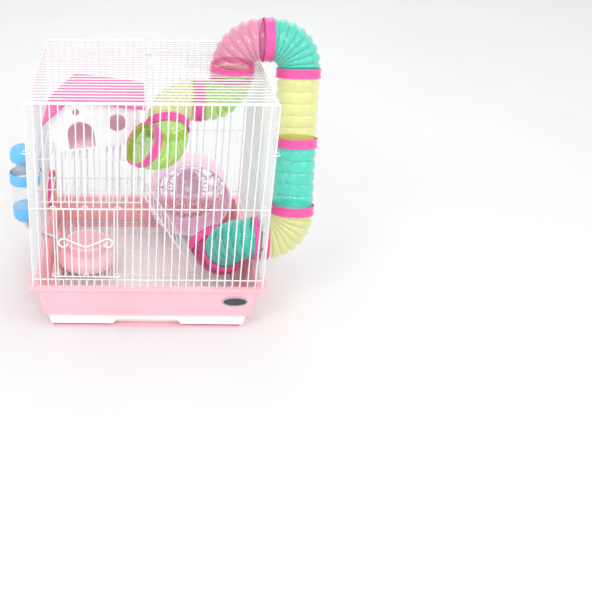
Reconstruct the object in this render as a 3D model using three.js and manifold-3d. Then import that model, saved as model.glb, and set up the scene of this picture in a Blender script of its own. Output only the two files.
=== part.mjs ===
// A two-floor wire hamster cage on a plastic base with a pull-out drawer, a wheel, a house, a bowl, a bottle
// and a run of corrugated tubes. Millimetres, +X to the right, +Y to the back, +Z up.
// The origin is the middle of the base's underside.
import * as THREE from "three";
import { mergeVertices } from "three/addons/utils/BufferGeometryUtils.js";
import Module from "manifold-3d";

const wasm = await Module();
wasm.setup();

// Driving dimensions of the wire cage
const CAGE_WIDTH = 300;
const CAGE_DEPTH = 250;
const CAGE_HEIGHT = 258;
const BAR_PITCH = 10;
const WIRE = 2;
const WIRE_CURVE_SEGMENTS = 2; // absarc doubles it, so a bent wire has a square section
const GAP = 0.3;

// Base and drawer
const RIM_Z = 68;
const RIM_HEIGHT = 7;
const RIM_LEDGE = 8;
const RIM_TAPER = 4;
const BASIN_Z = 24;
const BASIN_BOTTOM = [282, 247];
const BASIN_TOP = [294, 256];
const SKIRT_BOTTOM = [258, 239];
const SKIRT_TOP = [274, 243];
const FLOOR_THICKNESS = 3;
const LEDGE_THICKNESS = 2.5;
const DRAWER_CLEARANCE = 0.6;

// Tubes, connector rings and ports
const TUBE_R = 26.5;
const TUBE_WALL = 1.5;
const TUBE_CURVE_SEGMENTS = 6; // doubled too: a tube has 12 sides
const ELBOW_STEPS = 6;
const BEND_R = 35;
const CUFF = 7;
const MOUTH_CUFF = 13;
const RING_R = 28.8;
const RING_BORE_R = 27.6;
const RING_WIDTH = 12;
const ROUND_SIDES = 16;
const PORT_HOLE_R = 27.8;
const PLATE_SIZE = 62;
const PLATE_THICKNESS = 1.2;
const PORT_RING_WIDTH = 7;

// Places worked out from the driving dimensions
const HALF_W = CAGE_WIDTH / 2;
const HALF_D = CAGE_DEPTH / 2;
const ROOF_Z = RIM_Z + CAGE_HEIGHT;
const LOW_CROSS_Z = RIM_Z + 11.5;
const MID_CROSS_Z = RIM_Z + 117;
const HIGH_CROSS_Z = RIM_Z + 167;
const FOOT_Z = RIM_Z + GAP;
const CROSS_OFFSET = WIRE - 0.4; // crossing wires are welded: they sink 0.4 into each other
const SIDE_BAR_Y = HALF_D - 5;
const ELBOW_REACH = BEND_R + CUFF;

const ROOF_PORT = new THREE.Vector3(108, -4, ROOF_Z);
const LEFT_PORT = new THREE.Vector3(-HALF_W, 91, RIM_Z + 31.5);
const TUBE_LEAN = THREE.MathUtils.degToRad(15);
const STRAIGHT_LENGTH = 90;

const COLOURS = {
  basePink: 0xffc0ce,
  white: 0xf6f6f4,
  wire: 0xf2f3f3,
  wheelPink: 0xf2b6d2,
  bowlPink: 0xf59aa6,
  magenta: 0xe0459c,
  clearPink: 0xf79ac0,
  teal: 0x2fcfbd,
  yellow: 0xf4f09a,
  lime: 0xb6f04a,
  clear: 0xe6edf0,
  blue: 0x6bb8ee,
  steel: 0xb9bcc0,
  badge: 0x55585f,
};

// Geometry helpers ------------------------------------------------------------------------------------------

function solidOf(geometry) {
  const bare = geometry.clone();
  bare.deleteAttribute("normal");
  bare.deleteAttribute("uv");
  const merged = mergeVertices(bare, 1e-4);
  return new wasm.Manifold(
    new wasm.Mesh({
      numProp: 3,
      vertProperties: merged.attributes.position.array,
      triVerts: new Uint32Array(merged.index.array),
    }),
  );
}

function geometryOf(solid) {
  const mesh = solid.getMesh();
  const geometry = new THREE.BufferGeometry();
  geometry.setAttribute("position", new THREE.BufferAttribute(mesh.vertProperties, 3));
  geometry.setIndex(new THREE.BufferAttribute(mesh.triVerts, 1));
  geometry.computeVertexNormals();
  return geometry;
}

function join(geometries) {
  return geometryOf(geometries.map(solidOf).reduce((sum, solid) => sum.add(solid)));
}

function cut(geometry, tools) {
  return geometryOf(tools.map(solidOf).reduce((rest, tool) => rest.subtract(tool), solidOf(geometry)));
}

function box(x0, x1, y0, y1, z0, z1) {
  const geometry = new THREE.BoxGeometry(x1 - x0, y1 - y0, z1 - z0);
  return geometry.translate((x0 + x1) / 2, (y0 + y1) / 2, (z0 + z1) / 2);
}

// Straight wires along X, Y and Z
const barX = (x0, x1, y, z) => box(x0, x1, y - WIRE / 2, y + WIRE / 2, z - WIRE / 2, z + WIRE / 2);
const barY = (x, y0, y1, z) => box(x - WIRE / 2, x + WIRE / 2, y0, y1, z - WIRE / 2, z + WIRE / 2);
const barZ = (x, y, z0, z1) => box(x - WIRE / 2, x + WIRE / 2, y - WIRE / 2, y + WIRE / 2, z0, z1);

// Numbers from first to last, a step apart
function steps(first, last, step) {
  return Array.from({ length: Math.round((last - first) / step) + 1 }, (_, i) => first + i * step);
}

// A wire swept along a curve
function wireAlong(curve, segments, radius = WIRE / 2) {
  const section = new THREE.Shape();
  section.absarc(0, 0, radius, 0, 2 * Math.PI);
  return new THREE.ExtrudeGeometry(section, {
    steps: segments,
    curveSegments: WIRE_CURVE_SEGMENTS,
    extrudePath: curve,
  });
}

// An arc about centre, starting along the unit vector u and turning towards the unit vector v
class Arc3 extends THREE.Curve {
  constructor(centre, radius, u, v, start, sweep) {
    super();
    Object.assign(this, { centre, radius, u, v, start, sweep });
  }

  getPoint(t, target = new THREE.Vector3()) {
    const angle = this.start + this.sweep * t;
    return target
      .copy(this.centre)
      .addScaledVector(this.u, this.radius * Math.cos(angle))
      .addScaledVector(this.v, this.radius * Math.sin(angle));
  }
}

const X_AXIS = new THREE.Vector3(1, 0, 0);
const Y_AXIS = new THREE.Vector3(0, 1, 0);
const Z_AXIS = new THREE.Vector3(0, 0, 1);
const degrees = THREE.MathUtils.degToRad;

// A disc-shaped cutter, or a plain cylinder, along Z
function cylinder(radius, z0, z1, sides = ROUND_SIDES) {
  return new THREE.CylinderGeometry(radius, radius, z1 - z0, sides)
    .rotateX(Math.PI / 2)
    .translate(0, 0, (z0 + z1) / 2);
}

// A body turned about Z from [radius, height] points, going up the outside and back to the start
function turned(points, sides = ROUND_SIDES) {
  const profile = points.map(([radius, height]) => new THREE.Vector2(radius, height));
  return new THREE.LatheGeometry(profile, sides).rotateX(Math.PI / 2);
}

// A block with rounded corners, from its [width, depth] at z0 to its [width, depth] at z1
function taperedBlock([bottomW, bottomD], [topW, topD], z0, z1, corner) {
  const outline = new THREE.Shape();
  const x = bottomW / 2;
  const y = bottomD / 2;
  outline.moveTo(-x + corner, -y);
  outline.absarc(x - corner, -y + corner, corner, -Math.PI / 2, 0);
  outline.absarc(x - corner, y - corner, corner, 0, Math.PI / 2);
  outline.absarc(-x + corner, y - corner, corner, Math.PI / 2, Math.PI);
  outline.absarc(-x + corner, -y + corner, corner, Math.PI, 1.5 * Math.PI);
  const block = new THREE.ExtrudeGeometry(outline, {
    depth: z1 - z0,
    bevelEnabled: false,
    curveSegments: 3,
  });
  const position = block.attributes.position;
  for (let i = 0; i < position.count; i += 1) {
    if (position.getZ(i) > 0) {
      position.setX(i, (position.getX(i) * topW) / bottomW);
      position.setY(i, (position.getY(i) * topD) / bottomD);
    }
  }
  return block.translate(0, 0, z0);
}

function mesh(name, geometry, color, finish = {}) {
  const material = new THREE.MeshStandardMaterial({ color, roughness: 0.4, metalness: 0, ...finish });
  const made = new THREE.Mesh(geometry, material);
  made.name = name;
  return made;
}

const CLEAR_PLASTIC = { roughness: 0.12, transparent: true, opacity: 0.55 };

// Base, grate and drawer ------------------------------------------------------------------------------------

const RIM_W = CAGE_WIDTH + 2 * RIM_LEDGE;
const RIM_D = CAGE_DEPTH + 2 * (RIM_LEDGE - 2);
const CAVITY_W = CAGE_WIDTH - 12;
const CAVITY_D = CAGE_DEPTH - 10;
const GRATE_LEDGE_W = CAVITY_W - 14;
const GRATE_LEDGE_D = CAVITY_D - 4;
const TRAY_W = 248;
const TRAY_FRONT_Y = -112;
const TRAY_BACK_Y = 110;
const TRAY_TOP_Z = 21;
const TRAY_WALL = 2;
const FASCIA_TOP_W = 267;
const FASCIA_BOTTOM_W = 257;
const FASCIA_FRONT_Y = -120;
const FASCIA_BACK_Y = -116.5;
const FASCIA_Z0 = 6;
const FASCIA_Z1 = 23;

// The drawer's front plate, a trapezoid; grown enlarges it on each side to make its recess
function fascia(grown, y0, y1) {
  const bottom = FASCIA_BOTTOM_W / 2 + grown;
  const top = FASCIA_TOP_W / 2 + grown;
  const outline = new THREE.Shape();
  outline.moveTo(-bottom, FASCIA_Z0 - grown);
  outline.lineTo(bottom, FASCIA_Z0 - grown);
  outline.lineTo(top, FASCIA_Z1 + grown);
  outline.lineTo(-top, FASCIA_Z1 + grown);
  return new THREE.ExtrudeGeometry(outline, { depth: y1 - y0, bevelEnabled: false })
    .rotateX(Math.PI / 2)
    .translate(0, y1, 0);
}

function baseTub() {
  const underRim = RIM_Z - RIM_HEIGHT;
  const rimBottom = [RIM_W - 2 * RIM_TAPER, RIM_D - 1.5 * RIM_TAPER];
  const rim = taperedBlock(rimBottom, [RIM_W, RIM_D], underRim, RIM_Z, 8);
  const basin = taperedBlock(BASIN_BOTTOM, BASIN_TOP, BASIN_Z - LEDGE_THICKNESS, underRim + 1, 12);
  const skirt = taperedBlock(SKIRT_BOTTOM, SKIRT_TOP, 0, BASIN_Z + 1, 8);
  const cavity = taperedBlock([GRATE_LEDGE_W, GRATE_LEDGE_D], [CAVITY_W, CAVITY_D], BASIN_Z, RIM_Z + 1, 4);
  const outFront = -HALF_D - 5;
  const roomHalf = TRAY_W / 2 + 1;
  const roomTop = TRAY_TOP_Z + DRAWER_CLEARANCE;
  const trayRoom = box(-roomHalf, roomHalf, outFront, TRAY_BACK_Y + 2.5, FLOOR_THICKNESS, roomTop);
  const holeHalf = TRAY_W / 2 - 3;
  const litterHole = box(-holeHalf, holeHalf, TRAY_FRONT_Y + 3, TRAY_BACK_Y - 1, TRAY_TOP_Z, BASIN_Z + 1);
  const recess = fascia(DRAWER_CLEARANCE, outFront, FASCIA_BACK_Y + GAP);
  return cut(join([rim, basin, skirt]), [cavity, trayRoom, litterHole, recess]);
}

const NOTCH_BOTTOM_W = 94;
const NOTCH_TOP_W = 80;
const NOTCH_TOP_Z = 13;

// The low gap in the front plate, where fingers reach behind it
function fingerNotch() {
  const outline = new THREE.Shape();
  outline.moveTo(-NOTCH_BOTTOM_W / 2, 0);
  outline.lineTo(NOTCH_BOTTOM_W / 2, 0);
  outline.lineTo(NOTCH_TOP_W / 2, NOTCH_TOP_Z);
  outline.lineTo(-NOTCH_TOP_W / 2, NOTCH_TOP_Z);
  return new THREE.ExtrudeGeometry(outline, { depth: 8, bevelEnabled: false })
    .rotateX(Math.PI / 2)
    .translate(0, FASCIA_BACK_Y + 2, 0);
}

// A litter tray, its front plate and the neck between them, which leaves room for fingers behind the notch
function drawer() {
  const z0 = FLOOR_THICKNESS + DRAWER_CLEARANCE;
  const half = TRAY_W / 2;
  const inner = half - TRAY_WALL;
  const tray = box(-half, half, TRAY_FRONT_Y, TRAY_BACK_Y, z0, TRAY_TOP_Z);
  const hollow = box(
    -inner,
    inner,
    TRAY_FRONT_Y + TRAY_WALL,
    TRAY_BACK_Y - TRAY_WALL,
    z0 + TRAY_WALL,
    TRAY_TOP_Z + 1,
  );
  const plate = fascia(0, FASCIA_FRONT_Y, FASCIA_BACK_Y);
  const neckZ0 = NOTCH_TOP_Z + 1.4;
  const neck = box(-half + 4, half - 4, FASCIA_BACK_Y - 1, TRAY_FRONT_Y + 1, neckZ0, TRAY_TOP_Z - 1);
  return cut(join([cut(tray, [hollow]), plate, neck]), [fingerNotch()]);
}

const GRATE_CROSS_Z = BASIN_Z + GAP + WIRE / 2;
const GRATE_Z = GRATE_CROSS_Z + CROSS_OFFSET;
const GRATE_TOP_Z = GRATE_Z + WIRE / 2;
const GRATE_CROSS_Y = steps(-115.5, 115.5, 115.5);
const GRATE_SPACES = 14;

function floorGrate() {
  const half = GRATE_LEDGE_W / 2 - 3;
  const deep = GRATE_CROSS_Y[2];
  const pitch = (2 * half) / GRATE_SPACES;
  const lengthways = steps(-half, half, pitch).map((x) => barY(x, -deep - 2, deep + 2, GRATE_Z));
  const crossways = GRATE_CROSS_Y.map((y) => barX(-half - 2, half + 2, y, GRATE_CROSS_Z));
  return join([...lengthways, ...crossways]);
}

function badge() {
  const outline = new THREE.Shape();
  outline.absellipse(0, 0, 17, 8, 0, 2 * Math.PI);
  return new THREE.ExtrudeGeometry(outline, { depth: 1.2, bevelEnabled: false, curveSegments: 10 })
    .rotateX(Math.PI / 2)
    .translate(0, 0.6, 0);
}

// Wire panels -----------------------------------------------------------------------------------------------

const DOOR_LEFT_X = -120;
const DOOR_RIGHT_X = -40;

function frontPanel() {
  const y = -HALF_D;
  const bars = steps(-HALF_W, HALF_W, BAR_PITCH).map((x) => barZ(x, y, FOOT_Z, ROOF_Z));
  const crosses = [LOW_CROSS_Z, MID_CROSS_Z].map((z) => barX(-HALF_W, HALF_W, y + CROSS_OFFSET, z));
  const border = barX(-HALF_W - 1, HALF_W + 1, y, ROOF_Z);
  const doorway = box(
    DOOR_LEFT_X + 5,
    DOOR_RIGHT_X - 5,
    y - 3,
    y + 3,
    LOW_CROSS_Z + WIRE / 2,
    MID_CROSS_Z - WIRE / 2,
  );
  return cut(join([...bars, ...crosses, border]), [doorway]);
}

function backPanel() {
  const y = HALF_D;
  const bars = steps(-HALF_W, HALF_W, BAR_PITCH).map((x) => barZ(x, y, FOOT_Z, ROOF_Z));
  const crosses = [LOW_CROSS_Z, MID_CROSS_Z].map((z) => barX(-HALF_W, HALF_W, y - CROSS_OFFSET, z));
  return join([...bars, ...crosses, barX(-HALF_W - 1, HALF_W + 1, y, ROOF_Z)]);
}

// side is -1 on the left and 1 on the right; port is the middle of the hole for a tube
function sidePanel(side, port, shelfCross = []) {
  const x = side * HALF_W;
  const top = ROOF_Z - WIRE / 2 - GAP;
  const bars = steps(-SIDE_BAR_Y, SIDE_BAR_Y, BAR_PITCH).map((y) => barZ(x, y, FOOT_Z, top));
  const crosses = [LOW_CROSS_Z, MID_CROSS_Z].map((z) =>
    barY(x - side * CROSS_OFFSET, -SIDE_BAR_Y - 1, SIDE_BAR_Y + 1, z),
  );
  const hole = cylinder(PORT_HOLE_R, -5, 5).rotateY(Math.PI / 2).translate(x, port.y, port.z);
  const cutters = [hole];
  if (port.z - PORT_HOLE_R < LOW_CROSS_Z) {
    cutters.push(box(x - 5, x + 5, port.y - 25, port.y + 25, RIM_Z - 1, port.z));
  }
  return cut(join([...bars, ...crosses, ...shelfCross]), cutters);
}

// The left wall has a third, shorter cross wire that the upper shelf hangs on
function leftPanel() {
  return sidePanel(-1, LEFT_PORT, [barY(-HALF_W + CROSS_OFFSET, -71, 71, HIGH_CROSS_Z)]);
}

const HATCH_Y0 = -45;
const HATCH_Y1 = 55;
const HATCH_RIGHT_X = 48;
const ROOF_CROSS_Z = ROOF_Z + CROSS_OFFSET;

function roofPanel() {
  const wires = steps(-SIDE_BAR_Y, SIDE_BAR_Y, BAR_PITCH).map((y) =>
    barX(-HALF_W - 1, HALF_W + 1, y, ROOF_Z),
  );
  const crosses = [-HALF_W + 4, 0, HALF_W - 4].map((x) =>
    barY(x, -SIDE_BAR_Y - 1, SIDE_BAR_Y + 1, ROOF_CROSS_Z),
  );
  crosses.push(barY(HATCH_RIGHT_X, HATCH_Y0 - 6, HATCH_Y1 + 6, ROOF_CROSS_Z));
  const hatchHole = box(WIRE / 2, HATCH_RIGHT_X - WIRE / 2, HATCH_Y0, HATCH_Y1, ROOF_Z - 3, ROOF_Z + 3);
  const portHole = cylinder(PORT_HOLE_R, -5, 5).translate(ROOF_PORT.x, ROOF_PORT.y, ROOF_Z);
  return cut(join([...wires, ...crosses]), [hatchHole, portHole]);
}

// A small C of wire that ties the corner bars of two panels together, its centre at the origin
function cornerClip() {
  return wireAlong(new Arc3(new THREE.Vector3(), 5.4, X_AXIS, Y_AXIS, degrees(25), degrees(310)), 10, 0.8);
}

// Door and roof hatch ---------------------------------------------------------------------------------------

const DOOR_Y = -HALF_D - 3.6;
const DOOR_BOTTOM_Z = RIM_Z + 19.5;
const DOOR_TOP_Z = MID_CROSS_Z + WIRE + GAP;
const DOOR_LOOP_R = -HALF_D - DOOR_Y;
const SCROLL_X = (DOOR_LEFT_X + DOOR_RIGHT_X) / 2;
const SCROLL_Y = DOOR_Y - WIRE + 0.4;

// The hook at the end of a door bar, round the cage bar at barAt; side is -1 for the left hook
function doorLoop(side, barAt, z) {
  const centre = new THREE.Vector3(barAt, -HALF_D, z);
  const out = X_AXIS.clone().multiplyScalar(side);
  return wireAlong(new Arc3(centre, DOOR_LOOP_R, out, Y_AXIS, degrees(-90), degrees(245)), 8);
}

// Half of the V-shaped ornament: an arm that rises from the middle and ends in a curl
function scrollHalf(side) {
  const curl = new THREE.Vector3(SCROLL_X + side * 28, SCROLL_Y, RIM_Z + 73.5);
  const out = X_AXIS.clone().multiplyScalar(side);
  const foot = new THREE.Vector3(SCROLL_X - side * 0.5, SCROLL_Y, RIM_Z + 64);
  const arc = new Arc3(curl, 6.8, out, Z_AXIS, degrees(115), degrees(-275));
  const path = new THREE.CatmullRomCurve3([foot, ...arc.getPoints(9)], false, "centripetal");
  return wireAlong(path, 14, 0.9);
}

function frontDoor() {
  const inset = 4;
  const bars = steps(DOOR_LEFT_X + inset, DOOR_RIGHT_X - inset, 9).map((x) =>
    barZ(x, DOOR_Y, DOOR_BOTTOM_Z, DOOR_TOP_Z),
  );
  const pieces = [];
  for (const z of [DOOR_BOTTOM_Z, DOOR_TOP_Z]) {
    pieces.push(barX(DOOR_LEFT_X, DOOR_RIGHT_X, DOOR_Y, z));
    pieces.push(doorLoop(-1, DOOR_LEFT_X, z));
    pieces.push(doorLoop(1, DOOR_RIGHT_X, z));
    const eye = new THREE.TorusGeometry(3, 0.9, 5, 10).rotateX(Math.PI / 2);
    pieces.push(eye.translate(SCROLL_X + 4.5, DOOR_Y, z + 3));
  }
  return join([...bars, ...pieces, scrollHalf(-1), scrollHalf(1)]);
}

const HATCH_Z = ROOF_CROSS_Z + WIRE + GAP;

// Wires on a loose frame that hooks round the roof's middle cross wire, which is the hinge
function roofHatch() {
  const left = 6;
  const right = HATCH_RIGHT_X + 1;
  const rowZ = HATCH_Z + CROSS_OFFSET;
  const rows = steps(HATCH_Y0, HATCH_Y1, BAR_PITCH).map((y) => barX(left - 2, right + 2, y, rowZ));
  const rods = [left, right].map((x) => barY(x, HATCH_Y0 - 2, HATCH_Y1 + 2, HATCH_Z));
  const loops = [HATCH_Y0, (HATCH_Y0 + HATCH_Y1) / 2, HATCH_Y1].map((y) => {
    const centre = new THREE.Vector3(0, y, ROOF_CROSS_Z);
    return wireAlong(new Arc3(centre, 3.2, X_AXIS, Z_AXIS, degrees(46), degrees(280)), 8, 0.9);
  });
  const arms = [HATCH_Y0, (HATCH_Y0 + HATCH_Y1) / 2, HATCH_Y1].map((y) => barX(1.8, left, y, HATCH_Z - 0.2));
  const latch = new THREE.QuadraticBezierCurve3(
    new THREE.Vector3(right - 0.5, 5, HATCH_Z),
    new THREE.Vector3(right + 7, 5, HATCH_Z + 5),
    new THREE.Vector3(right + 8, 5, HATCH_Z - 1.6),
  );
  return join([...rows, ...rods, ...loops, ...arms, wireAlong(latch, 5, 0.9)]);
}

// Shelves and ladder ----------------------------------------------------------------------------------------

const SHELF_LEFT_X = -HALF_W + 4.5;
const LOWER_SHELF = { right: -10, front: -80, back: -12, z: MID_CROSS_Z - 13, cross: MID_CROSS_Z };
const UPPER_SHELF = { right: -10, front: -56, back: 46, z: HIGH_CROSS_Z - 13, cross: HIGH_CROSS_Z };
const SHELF_SPACES = 11;
const LIP_X = -15;
const LIP_TOP_Z = 237.6;

// The wire that climbs from the shelf's left edge, crosses over the wall's cross wire and turns down outside
function shelfHook(y, z, cross) {
  const outside = -HALF_W - 1.7;
  const top = cross + WIRE + GAP;
  const path = new THREE.CatmullRomCurve3([
    new THREE.Vector3(SHELF_LEFT_X, y, z),
    new THREE.Vector3(SHELF_LEFT_X, y, top - 2),
    new THREE.Vector3(SHELF_LEFT_X - 2, y, top + 0.2),
    new THREE.Vector3(outside + 1.5, y, top + 0.2),
    new THREE.Vector3(outside, y, top - 2),
    new THREE.Vector3(outside, y, cross - 4),
  ]);
  return wireAlong(path, 12);
}

// A wire tray whose two hooks hang on a cross wire of the left panel
function shelf({ right, front, back, z, cross }) {
  const pitch = (right - SHELF_LEFT_X) / SHELF_SPACES;
  const slats = steps(SHELF_LEFT_X, right, pitch).map((x) => barY(x, front - 2, back + 2, z));
  const rails = [front, back].map((y) => barX(SHELF_LEFT_X - 2, right + 2, y, z - CROSS_OFFSET));
  const hooks = [front + 15, back - 15].map((near) => {
    const gapMiddle = Math.round((near - 5) / BAR_PITCH) * BAR_PITCH + 5;
    return shelfHook(gapMiddle, z, cross);
  });
  return join([...slats, ...rails, ...hooks]);
}

// The upper shelf also has a raised wire near its right edge, on which the house leans
function upperShelf() {
  const { front, back, z } = UPPER_SHELF;
  const posts = [front - CROSS_OFFSET, back + CROSS_OFFSET].map((y) => barZ(LIP_X, y, z - 4, LIP_TOP_Z));
  const lip = barY(LIP_X - CROSS_OFFSET, front - 4, back + 4, LIP_TOP_Z - WIRE / 2);
  return join([shelf(UPPER_SHELF), ...posts, lip]);
}

const LADDER_WIDTH = 46;
const LADDER_MID_Y = -39;
const LADDER_FOOT = new THREE.Vector3(76, LADDER_MID_Y, GRATE_TOP_Z + 2);
const LADDER_TOP = new THREE.Vector3(LOWER_SHELF.right, LADDER_MID_Y, LOWER_SHELF.z);
const LADDER_HOOK_R = 3.2;

// Made along +X from its hook, which is centred on the origin, then turned down to lean on the shelf's edge
function ladder() {
  const length = LADDER_TOP.distanceTo(LADDER_FOOT);
  const half = LADDER_WIDTH / 2;
  const rails = [-half, half].map((y) => barX(0, length, y, LADDER_HOOK_R));
  const rungZ = LADDER_HOOK_R - CROSS_OFFSET;
  const rungs = steps(14, length - 6, (length - 20) / 11).map((x) => barY(x, -half - 2, half + 2, rungZ));
  const hooks = [-half, half].map((y) => {
    const centre = new THREE.Vector3(0, y, 0);
    return wireAlong(new Arc3(centre, LADDER_HOOK_R, X_AXIS, Z_AXIS, degrees(85), degrees(150)), 5, 0.9);
  });
  return join([...rails, ...rungs, ...hooks]);
}

// Wheel -----------------------------------------------------------------------------------------------------

const WHEEL_R = 61.5;
const WHEEL_DEPTH = 46;
const WHEEL_CENTRE = new THREE.Vector3(68, 112, RIM_Z + 24);
const RING_INNER_R = WHEEL_R / 2;
const RING_OUTER_R = RING_INNER_R + 3;
const AXLE_R = 2;
const HUB_R = 8;
const HUB_DEPTH = 6;

// Turned about +Z, which is the side that the animal enters; the lattice is at z 0
function wheelDrum() {
  const inner = WHEEL_R - 2;
  const drum = turned(
    [
      [inner - 5, 0],
      [WHEEL_R, 0],
      [WHEEL_R, WHEEL_DEPTH],
      [inner, WHEEL_DEPTH],
      [inner, 2],
      [inner - 5, 2],
      [inner - 5, 0],
    ],
    24,
  );
  const ring = turned(
    [
      [RING_INNER_R, 0],
      [RING_OUTER_R, 0],
      [RING_OUTER_R, 2],
      [RING_INNER_R, 2],
      [RING_INNER_R, 0],
    ],
    24,
  );
  const spokes = steps(0, 315, 45).map((angle) =>
    box(HUB_R - 2, inner - 4, -1, 1, 0, 2).rotateZ(degrees(angle)),
  );
  const hub = cylinder(HUB_R, 0, HUB_DEPTH);
  const bore = cylinder(AXLE_R + GAP, -1, HUB_DEPTH + 1, 12);
  return cut(join([drum, ring, hub, ...spokes]), [bore]);
}

// The axle pin with its round cap at the front end; z 0 is the lattice's back
function wheelAxle() {
  const capZ = HUB_DEPTH + GAP;
  return turned(
    [
      [0, -7],
      [AXLE_R, -7],
      [AXLE_R, capZ],
      [6, capZ],
      [6, capZ + 3],
      [3.5, capZ + 5],
      [0, capZ + 5],
    ],
    12,
  );
}

// A plate inside the back panel, hooked through the gaps between its bars, with a bore for the axle pin
function wheelBracket() {
  const { x, z } = WHEEL_CENTRE;
  const plate = box(x - 17, x + 17, 115.5, 120.5, z - 15, z + 28);
  const barGaps = [65, 75];
  const hooks = barGaps.flatMap((gapX) => [
    box(gapX - 2.5, gapX + 2.5, 120, 128, z + 16, z + 22),
    box(gapX - 2.5, gapX + 5.5, HALF_D + 1.4, HALF_D + 3.4, z + 16, z + 22),
  ]);
  const bore = cylinder(AXLE_R + GAP, -10, 10, 12).rotateX(Math.PI / 2).translate(x, 117, z);
  return cut(join([plate, ...hooks]), [bore]);
}

// Bowl and house --------------------------------------------------------------------------------------------

const BOWL_CENTRE = new THREE.Vector3(-86, 6, GRATE_TOP_Z + GAP);

function bowl() {
  return turned(
    [
      [0, 0],
      [44, 0],
      [44, 3],
      [30.5, 29],
      [30.5, 32],
      [28, 32],
      [23, 9],
      [0, 9],
    ],
    24,
  );
}

const HOUSE_LEFT_X = -121.5;
const HOUSE_FRONT_Y = -43;
const HOUSE_TILT = degrees(8);
const HOUSE_WIDTH = 110;
const HOUSE_DEPTH = 87;
const HOUSE_WALL = 2;
const HOUSE_FLARE = 2.5;
const PEAK_X = 30.6;
const PEAK_Z = 72;
const LEFT_SLOPE = 0.72;
const RIGHT_SLOPE = 0.273;

// The height of the gable's top edge at x
const gableZ = (x) => PEAK_Z - (x < PEAK_X ? (PEAK_X - x) * LEFT_SLOPE : (x - PEAK_X) * RIGHT_SLOPE);

// The gable outline, whose side walls lean out, drawn inset from the wall's outside
function gable(inset, floor) {
  const left = inset - HOUSE_FLARE;
  const right = HOUSE_WIDTH + HOUSE_FLARE - inset;
  const lower = 1.2 * inset;
  const outline = new THREE.Shape();
  outline.moveTo(inset, floor);
  outline.lineTo(HOUSE_WIDTH - inset, floor);
  outline.lineTo(right, gableZ(right) - lower);
  outline.lineTo(PEAK_X, PEAK_Z - lower);
  outline.lineTo(left, gableZ(left) - lower);
  return outline;
}

const alongDepth = (shape, y0, y1, curveSegments = 8) =>
  new THREE.ExtrudeGeometry(shape, { depth: y1 - y0, bevelEnabled: false, curveSegments })
    .rotateX(Math.PI / 2)
    .translate(0, y1, 0);

const ARCH = { x: 36, radius: 17.5, sill: 3, spring: 22.4 };
const SPY_HOLE = { x: 34.5, z: 54, radius: 4.5 };
const WINDOW = { x: 85.3, z: 32.4, radius: 11.8 };

function roundHole({ x, z, radius }) {
  const hole = new THREE.Shape();
  hole.absarc(x, z, radius, 0, 2 * Math.PI);
  return hole;
}

// Four walls without a floor, with a doorway, a spy hole and a window in the front one
function houseBody() {
  const shell = alongDepth(gable(0, 0), 0, HOUSE_DEPTH);
  const room = alongDepth(gable(HOUSE_WALL, -1), HOUSE_WALL, HOUSE_DEPTH - HOUSE_WALL);
  const doorway = new THREE.Shape();
  doorway.moveTo(ARCH.x - ARCH.radius, ARCH.sill);
  doorway.lineTo(ARCH.x + ARCH.radius, ARCH.sill);
  doorway.absarc(ARCH.x, ARCH.spring, ARCH.radius, 0, Math.PI);
  const openings = [doorway, roundHole(SPY_HOLE), roundHole(WINDOW)];
  return cut(shell, [room, ...openings.map((shape) => alongDepth(shape, -1, HOUSE_WALL + 1, 6))]);
}

const ROOF_THICKNESS = 3.4;
const LEFT_OVERHANG = 8.2;
const RIGHT_OVERHANG = 11.2;
const GABLE_OVERHANG = 6;

// The sloping roof, a bent plate that rests on the gables
function houseRoof() {
  const left = -HOUSE_FLARE - LEFT_OVERHANG;
  const right = HOUSE_WIDTH + HOUSE_FLARE + RIGHT_OVERHANG;
  const lift = GAP + 0.2;
  const outline = new THREE.Shape();
  outline.moveTo(left, gableZ(left) + lift);
  outline.lineTo(PEAK_X, PEAK_Z + lift);
  outline.lineTo(right, gableZ(right) + lift);
  outline.lineTo(right, gableZ(right) + lift + ROOF_THICKNESS);
  outline.lineTo(PEAK_X, PEAK_Z + lift + ROOF_THICKNESS);
  outline.lineTo(left, gableZ(left) + lift + ROOF_THICKNESS);
  return alongDepth(outline, -GABLE_OVERHANG, HOUSE_DEPTH + GABLE_OVERHANG);
}

// Bottle ----------------------------------------------------------------------------------------------------

const BOTTLE_R = 17;
const BOTTLE_CENTRE = new THREE.Vector3(-HALF_W - 20.5, -15, RIM_Z + 37);
const BOTTOM_CAP_HEIGHT = 24;
const TOP_CAP_HEIGHT = 19;
const BOTTLE_LENGTH = 115;
const HOLDER_Z0 = 62;
const HOLDER_Z1 = 77;

function bottleBody() {
  return cylinder(BOTTLE_R, BOTTOM_CAP_HEIGHT + GAP, BOTTLE_LENGTH - TOP_CAP_HEIGHT - GAP, 20);
}

// A cap with a rounded end: z 0 is its flat side and it rises to height
function bottleCap(height) {
  return turned(
    [
      [0, 0],
      [BOTTLE_R + 0.4, 0],
      [BOTTLE_R + 0.4, 0.5 * height],
      [0.92 * BOTTLE_R, 0.74 * height],
      [0.7 * BOTTLE_R, 0.92 * height],
      [0.35 * BOTTLE_R, height],
      [0, height],
    ],
    20,
  );
}

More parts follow.
